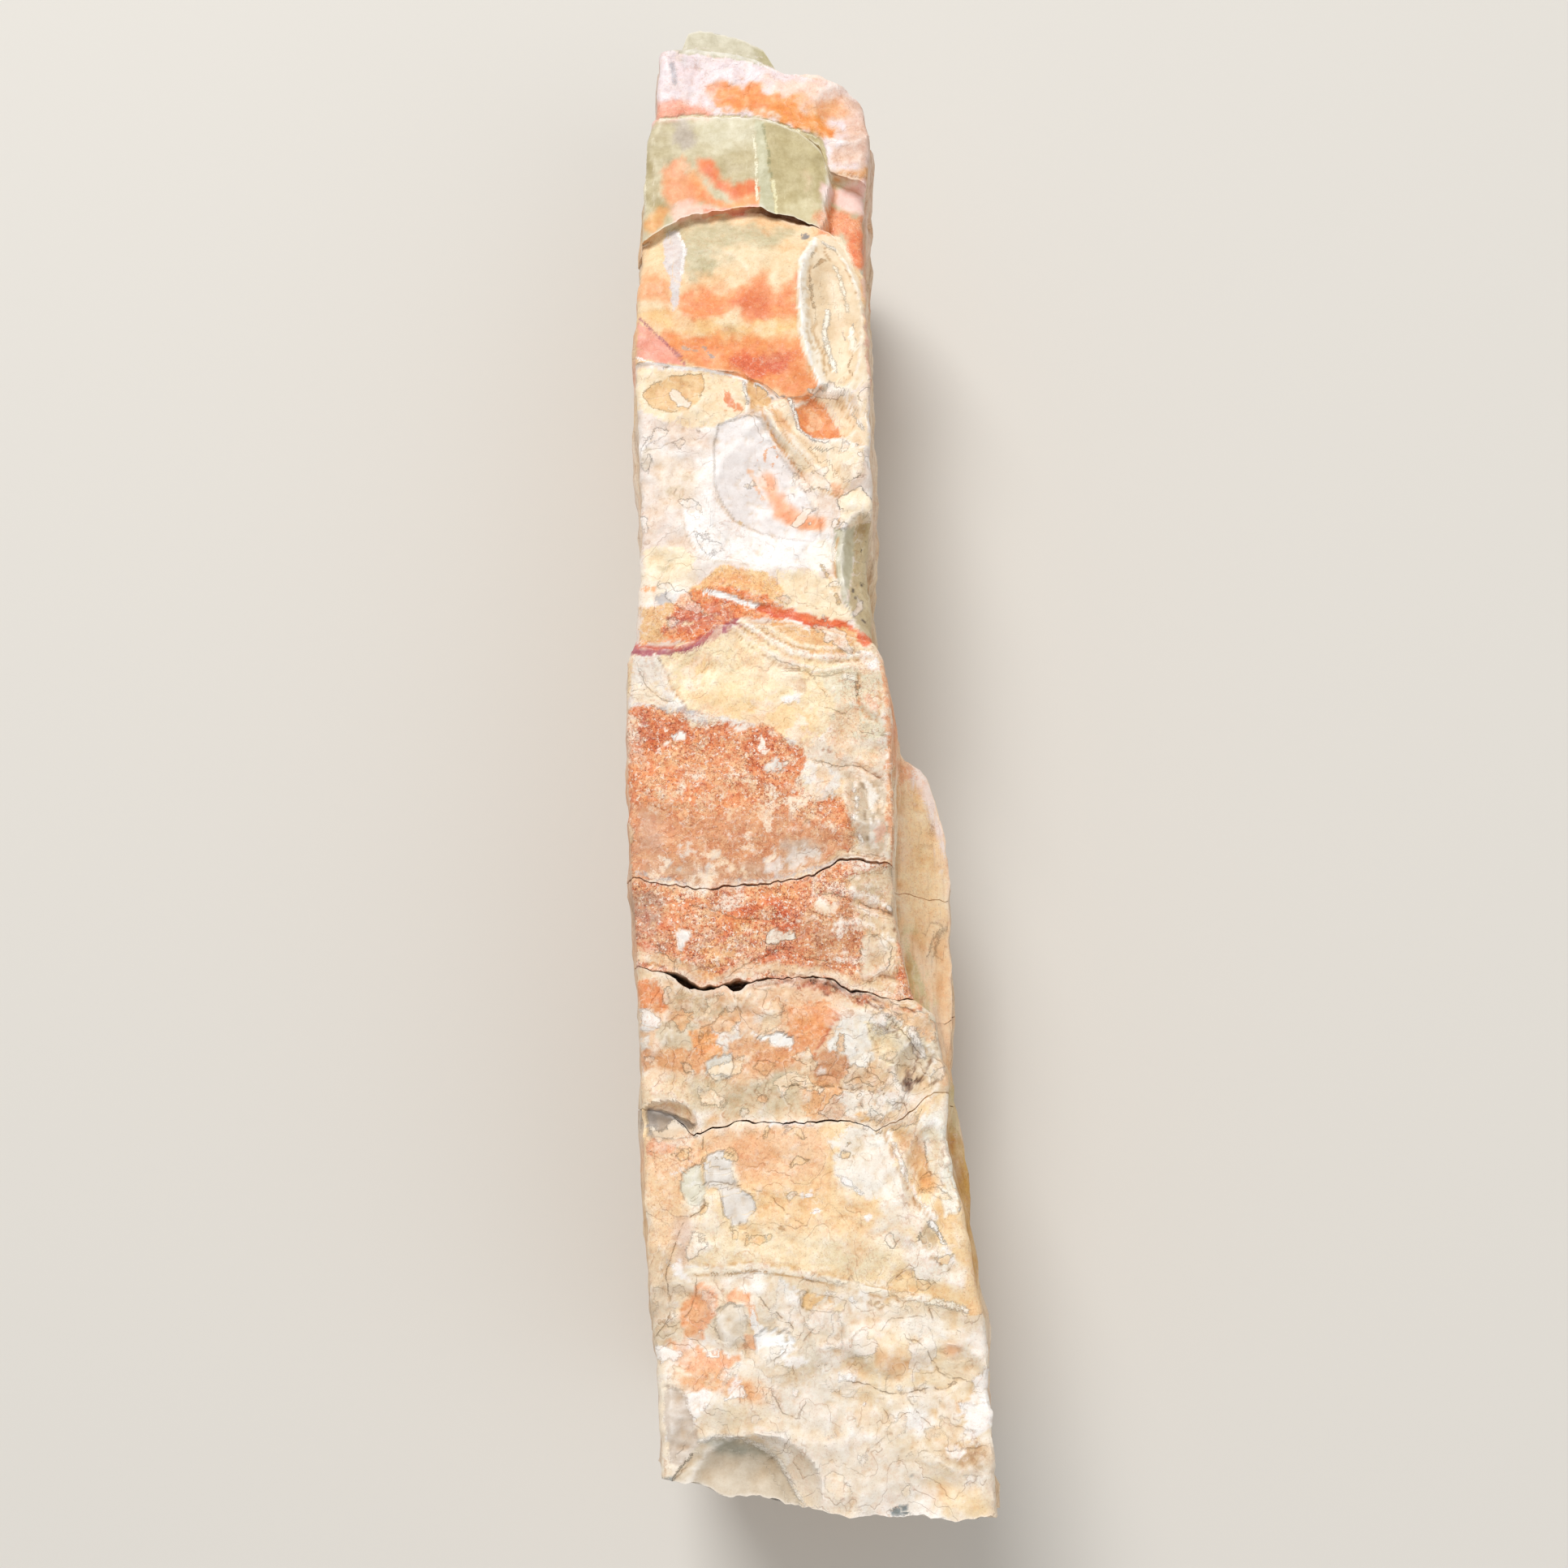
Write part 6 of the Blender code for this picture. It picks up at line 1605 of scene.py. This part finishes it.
def broken_agatised_wood(look):
    """Agatised wood, broken: silica that took the wood's place, waxy where it split clean
    and chalky where it crumbled. The eye gets soft gloss on the blocks, a dull grainy
    rust, white painted highlights on the crests and flake rims, and hair lines where thin layers end."""
    material = bpy.data.materials.new("broken agatised wood")
    material.use_nodes = True
    tree = material.node_tree
    tree.nodes.clear()

    def read(name, output="Fac"):
        return add(tree, "ShaderNodeAttribute", attribute_name=name).outputs[output]

    def math_of(operation, *values):
        return add(tree, "ShaderNodeMath", dict(enumerate(values)), operation=operation).outputs[0]

    def plus(first, second):
        return math_of("ADD", first, second)

    def times(first, second):
        return math_of("MULTIPLY", first, second)

    def scaled(value, factor, offset):
        return math_of("MULTIPLY_ADD", value, factor, offset)

    def cloud(size, detail=3.0, roughness=0.6, where=None):
        """Noise with patches of about the given size in millimetres."""
        return add(tree, "ShaderNodeTexNoise",
                   {"Vector": where or place, "Scale": 1.0 / size, "Detail": detail,
                    "Roughness": roughness}).outputs["Fac"]

    def above(value, low, high):
        """0 below the low value, 1 above the high one, smooth between."""
        return add(tree, "ShaderNodeMapRange",
                   {"Value": value, "From Min": low, "From Max": high},
                   interpolation_type="SMOOTHSTEP").outputs["Result"]

    def blend(share, first, second, kind="MIX"):
        """Two colours blended: 0, 6 and 7 are this node's factor and colour inputs."""
        return add(tree, "ShaderNodeMix", {0: share, 6: first, 7: second},
                   data_type="RGBA", blend_type=kind).outputs[2]

    def tinted(colour, amount, strength, code, kind="MIX"):
        """A colour with another over it, in places and at a strength."""
        return blend(times(amount, strength), colour, hexed(code), kind)

    def spread(value, width):
        """Noise turned into a shift of about plus and minus half the width."""
        return scaled(value, 2.0 * width, -width)

    coords = add(tree, "ShaderNodeTexCoord").outputs["Object"]
    place = add(tree, "ShaderNodeVectorMath", {0: coords, "Scale": 1.0 / MM},
                operation="SCALE").outputs["Vector"]
    grain_of, fibre, end = read("grain"), read("fibre"), read("broken_end")

    # The edge between the two tones of a place, drawn finer than the mesh
    soft, edge = read("soft"), read("edge")
    nibbled = plus(edge, spread(cloud(1.3, 3.0), 0.5))
    scattered = times(spread(cloud(0.34, 3.0, 0.7), 1.0), scaled(soft, 0.75, 0.25))
    nibbled = plus(nibbled, scattered)
    share = above(math_of("DIVIDE", nibbled, scaled(soft, 0.5, 0.12)), -0.5, 0.5)
    colour = blend(share, read("tint", "Color"), read("patch", "Color"))

    # Clouding inside the silica
    clouding = cloud(2.2, 5.0, 0.65)
    colour = blend(0.30, colour, above(clouding, 0.25, 0.75), "SOFT_LIGHT")

    # Rust: pale, warm and red patches, granules, worm tracks, flecks and specks
    for size, roughness, low, high, strength, code in (
            (3.4, 0.78, 0.50, 0.57, 0.62, "fad2a2"), (6.0, 0.75, 0.52, 0.60, 0.5, "f09a58"),
            (9.0, 0.78, 0.55, 0.63, 0.45, "dc6030")):
        patches = times(above(cloud(size, 6.0, roughness), low, high), grain_of)
        colour = tinted(colour, patches, strength, code)
    granules = cloud(look.granule_size, 4.0, 0.75)
    rusty = times(above(granules, 0.50, 0.60), grain_of)
    colour = blend(times(rusty, look.rust_strength), colour, (*look.rust_colour, 1.0), "MULTIPLY")
    worms = math_of("ABSOLUTE", math_of("SUBTRACT", cloud(1.4, 4.0, 0.7), 0.5))
    worms = times(above(worms, 0.034, 0.006), grain_of)
    worms = times(worms, above(cloud(5.0, 4.0, 0.7), 0.38, 0.56))
    colour = tinted(colour, worms, 0.85, "9c5634", "MULTIPLY")
    flecks = times(above(cloud(1.0, 5.0, 0.8), 0.555, 0.60), grain_of)
    colour = tinted(colour, flecks, 0.85, "fdf0df")
    specks = times(above(cloud(0.42, 3.0, 0.6), 0.60, 0.67), scaled(grain_of, 0.75, 0.12))
    colour = blend(specks, colour, hexed("8a4e2e"), "MULTIPLY")
    dots = above(cloud(0.8, 2.0, 0.5), 0.71, 0.78)
    colour = tinted(colour, dots, 0.3, "9a7350")

    # Thin broken layers, as terraces with a dark rim and a pale rim; the pale rim is a painted highlight on
    # the flakes' edges
    flaky = read("flaky")
    layers = times(cloud(look.flake_size, 5.0, 0.5), 11.0)
    rest = math_of("FRACT", layers)
    terrace = plus(math_of("FLOOR", layers), above(rest, 0.0, 0.10))
    rim = times(above(rest, 0.16, 0.02), above(rest, 0.0, 0.02))
    rim = times(rim, above(cloud(6.0, 3.0), 0.44, 0.60))
    colour = tinted(colour, times(rim, flaky), 0.55, "b98c62", "MULTIPLY")
    rim_highlight = times(above(rest, 0.80, 0.98), above(cloud(4.0, 3.0), 0.45, 0.62))
    colour = tinted(colour, times(rim_highlight, flaky), 0.35, "fff8ee")

    # Hair lines where layers end, worn away in places
    wobble = plus(spread(cloud(1.1, 3.0), 0.35), spread(cloud(0.3, 2.0), 0.1))
    line = math_of("ABSOLUTE", plus(read("crease"), wobble))
    drawn = times(math_of("SUBTRACT", 1.0, above(line, 0.03, 0.17)), read("ink"))
    drawn = times(drawn, above(cloud(3.0, 3.0), 0.40, 0.52))
    colour = blend(times(drawn, look.line_strength), colour, (*look.line_colour, 1.0))

    # Growth rings and fibres on the sides, the back and the ends
    parts = add(tree, "ShaderNodeSeparateXYZ", {0: place}).outputs
    ring_place = add(tree, "ShaderNodeCombineXYZ",
                     {0: read("ring"), 1: times(parts[1], 0.02), 2: 0.0}).outputs[0]
    rings = cloud(look.ring_width, 4.0, 0.7, ring_place)
    stretched = add(tree, "ShaderNodeVectorMath", {0: place, 1: (1.0, 0.06, 1.0)},
                    operation="MULTIPLY").outputs["Vector"]
    fibres = cloud(0.7, 4.0, 0.7, stretched)
    inner = math_of("MAXIMUM", fibre, end)
    ringed = times(above(rings, 0.50, 0.60), inner)
    colour = tinted(colour, ringed, 0.35, "a87f58")
    pale = times(above(rings, 0.48, 0.38), inner)
    colour = tinted(colour, pale, 0.30, "f6e9d6")
    threads = times(above(fibres, 0.52, 0.66), fibre)
    colour = tinted(colour, threads, 0.30, "a07a55")

    # Gloss where the silica is clean, and the finest relief
    crumbly = above(plus(cloud(5.0, 4.0), times(grain_of, 0.25)), 0.42, 0.68)
    dull = scaled(crumbly, 0.30, 0.46)
    ledges = times(math_of("SUBTRACT", share, above(edge, -1.0, 1.0)), read("step"))
    height = times(granules, scaled(grain_of, 0.14, 0.06))
    for form, tall in ((times(fibres, fibre), 0.14), (clouding, 0.14), (ledges, 0.8),
                       (times(terrace, flaky), 0.12), (drawn, -0.15)):
        height = scaled(form, tall, height)
    bump = add(tree, "ShaderNodeBump", {"Height": height, "Distance": MM, "Strength": 1.0})
    shader = add(tree, "ShaderNodeBsdfPrincipled",
                 {"Base Color": colour, "Roughness": dull, "Normal": bump.outputs[0],
                  "IOR": 1.54, "Metallic": 0.0})
    add(tree, "ShaderNodeOutputMaterial", {"Surface": shader.outputs[0]})
    return material


def plain_paper(colour):
    """Matt backdrop paper: no gloss and no grain, so that the eye stays on the stone."""
    material = bpy.data.materials.new("matt paper")
    material.use_nodes = True
    shader = material.node_tree.nodes["Principled BSDF"]
    shader.inputs["Base Color"].default_value = (*colour, 1.0)
    shader.inputs["Roughness"].default_value = 0.9
    return material


def tone_property(name, description, code):
    """A colour that can be set in the panel."""
    return FloatVectorProperty(name=name, description=description, subtype="COLOR", size=3,
                               min=0.0, max=1.0, default=tuple(linear(rgb(code))))


class StoneLook(bpy.types.PropertyGroup):
    """Sizes and colours of the stone that someone may want to change."""

    relief: FloatProperty(
        name="Relief", description="Strength of the low marks on the face", default=1.0,
        min=0.0, max=2.0, subtype="FACTOR")
    granule_size: FloatProperty(
        name="Granules", description="Size of the rust's granules, in millimetres",
        default=0.75, min=0.2, max=3.0)
    flake_size: FloatProperty(
        name="Flakes", description="Breadth of the thin broken layers, in millimetres",
        default=16.0, min=2.0, max=60.0)
    ring_width: FloatProperty(
        name="Rings", description="Width of the growth rings, in millimetres", default=1.3,
        min=0.5, max=5.0)
    rust_strength: FloatProperty(
        name="Rust", description="How strongly the rust's granules show", default=0.7,
        min=0.0, max=1.0, subtype="FACTOR")
    rust_colour: tone_property("Rust colour", "Tint of the rust's granules", "d98a5e")
    line_strength: FloatProperty(
        name="Hair lines", description="How dark the lines at the ends of layers are",
        default=0.68, min=0.0, max=1.0, subtype="FACTOR")
    line_colour: tone_property("Line colour", "Colour of the hair lines", "80603f")


class StudioLook(bpy.types.PropertyGroup):
    """The floor and the light around the stone."""

    floor_colour: tone_property("Floor", "Colour of the backdrop paper", "d9d5ce")
    key_power: FloatProperty(
        name="Key light", description="Power of the soft main light", default=45.0, min=0.0,
        unit="POWER")
    fill_power: FloatProperty(
        name="Fill light", description="Power of the light that opens the shadows",
        default=3.9, min=0.0, unit="POWER")
    sky: FloatProperty(
        name="Surround", description="Strength of the even light from all sides",
        default=0.43, min=0.0, max=5.0)


class STONE_OT_petrified_wood(bpy.types.Operator):
    """Builds the petrified wood, one closed stone, in place of the plain solid"""

    bl_idname = "stone.petrified_wood"
    bl_label = "Petrified wood"

    def execute(self, context):
        look = context.scene.stone_look
        mesh = shape_stone(look.relief)
        mesh.materials.append(broken_agatised_wood(look))
        stone = put("petrified_wood_stone", mesh)
        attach(stone, "root")
        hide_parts("petrified_wood")
        return {"FINISHED"}


class STONE_OT_studio(bpy.types.Operator):
    """Lays the floor, hangs the soft lights and sets the camera over the stone"""

    bl_idname = "stone.studio"
    bl_label = "Studio"

    def execute(self, context):
        studio = context.scene.stone_studio
        tool = bmesh.new()
        bmesh.ops.create_grid(tool, x_segments=1, y_segments=1, size=3.0)
        mesh = mesh_of(tool, "floor")
        mesh.materials.append(plain_paper(studio.floor_colour))
        floor = put("floor", mesh)
        self.hang("key light", studio.key_power, 1.0, (-0.6, 1.4, 1.9))
        self.hang("fill light", studio.fill_power, 1.2, (0.7, -0.7, 1.0))
        world = bpy.data.worlds.new("studio")
        world.use_nodes = True
        sky = world.node_tree.nodes["Background"].inputs
        sky["Color"].default_value, sky["Strength"].default_value = (1.0, 0.99, 0.97, 1.0), studio.sky
        context.scene.world = world
        context.scene.view_settings.view_transform = "Standard"
        self.aim_camera(context)
        return {"FINISHED"}

    def hang(self, name, power, size, place):
        """A square soft light that looks at the stone."""
        light = bpy.data.lights.new(name, "AREA")
        light.energy, light.size = power, size
        lamp = put(name, light)
        lamp.location = place
        lamp.rotation_euler = (-Vector(place)).to_track_quat("-Z", "Y").to_euler()

    def aim_camera(self, context):
        """The photograph's viewpoint, over the wide end and tilted to the narrow one."""
        view = bpy.data.cameras.new("camera")
        view.sensor_width = SENSOR
        view.lens = SENSOR / 2 / math.tan(math.radians(FIELD_OF_VIEW / 2))
        camera = put("camera", view)
        camera.location = [(CAMERA[axis] - (*MIDDLE, 0.0)[axis]) * MM for axis in range(3)]
        camera.rotation_euler = (math.radians(CAMERA_TILT), 0.0, 0.0)
        context.scene.camera = camera


class STONE_PT_panel(bpy.types.Panel):
    """Lists the stone, its studio and their settings"""

    bl_label = "Petrified wood"
    bl_space_type = "VIEW_3D"
    bl_region_type = "UI"
    bl_category = "Petrified wood"

    def draw(self, context):
        for maker, look in ((STONE_OT_petrified_wood, context.scene.stone_look),
                            (STONE_OT_studio, context.scene.stone_studio)):
            self.layout.operator(maker.bl_idname)
            for name in look.__annotations__:
                self.layout.prop(look, name)


CLASSES = (StoneLook, StudioLook, STONE_OT_petrified_wood, STONE_OT_studio, STONE_PT_panel)


def register():
    for item in CLASSES:
        bpy.utils.register_class(item)
    bpy.types.Scene.stone_look = PointerProperty(type=StoneLook)
    bpy.types.Scene.stone_studio = PointerProperty(type=StudioLook)


def unregister():
    del bpy.types.Scene.stone_studio
    del bpy.types.Scene.stone_look
    for item in reversed(CLASSES):
        bpy.utils.unregister_class(item)


def main():
    register()
    bpy.ops.stone.petrified_wood()
    bpy.ops.stone.studio()
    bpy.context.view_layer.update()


if __name__ == "__main__":
    main()
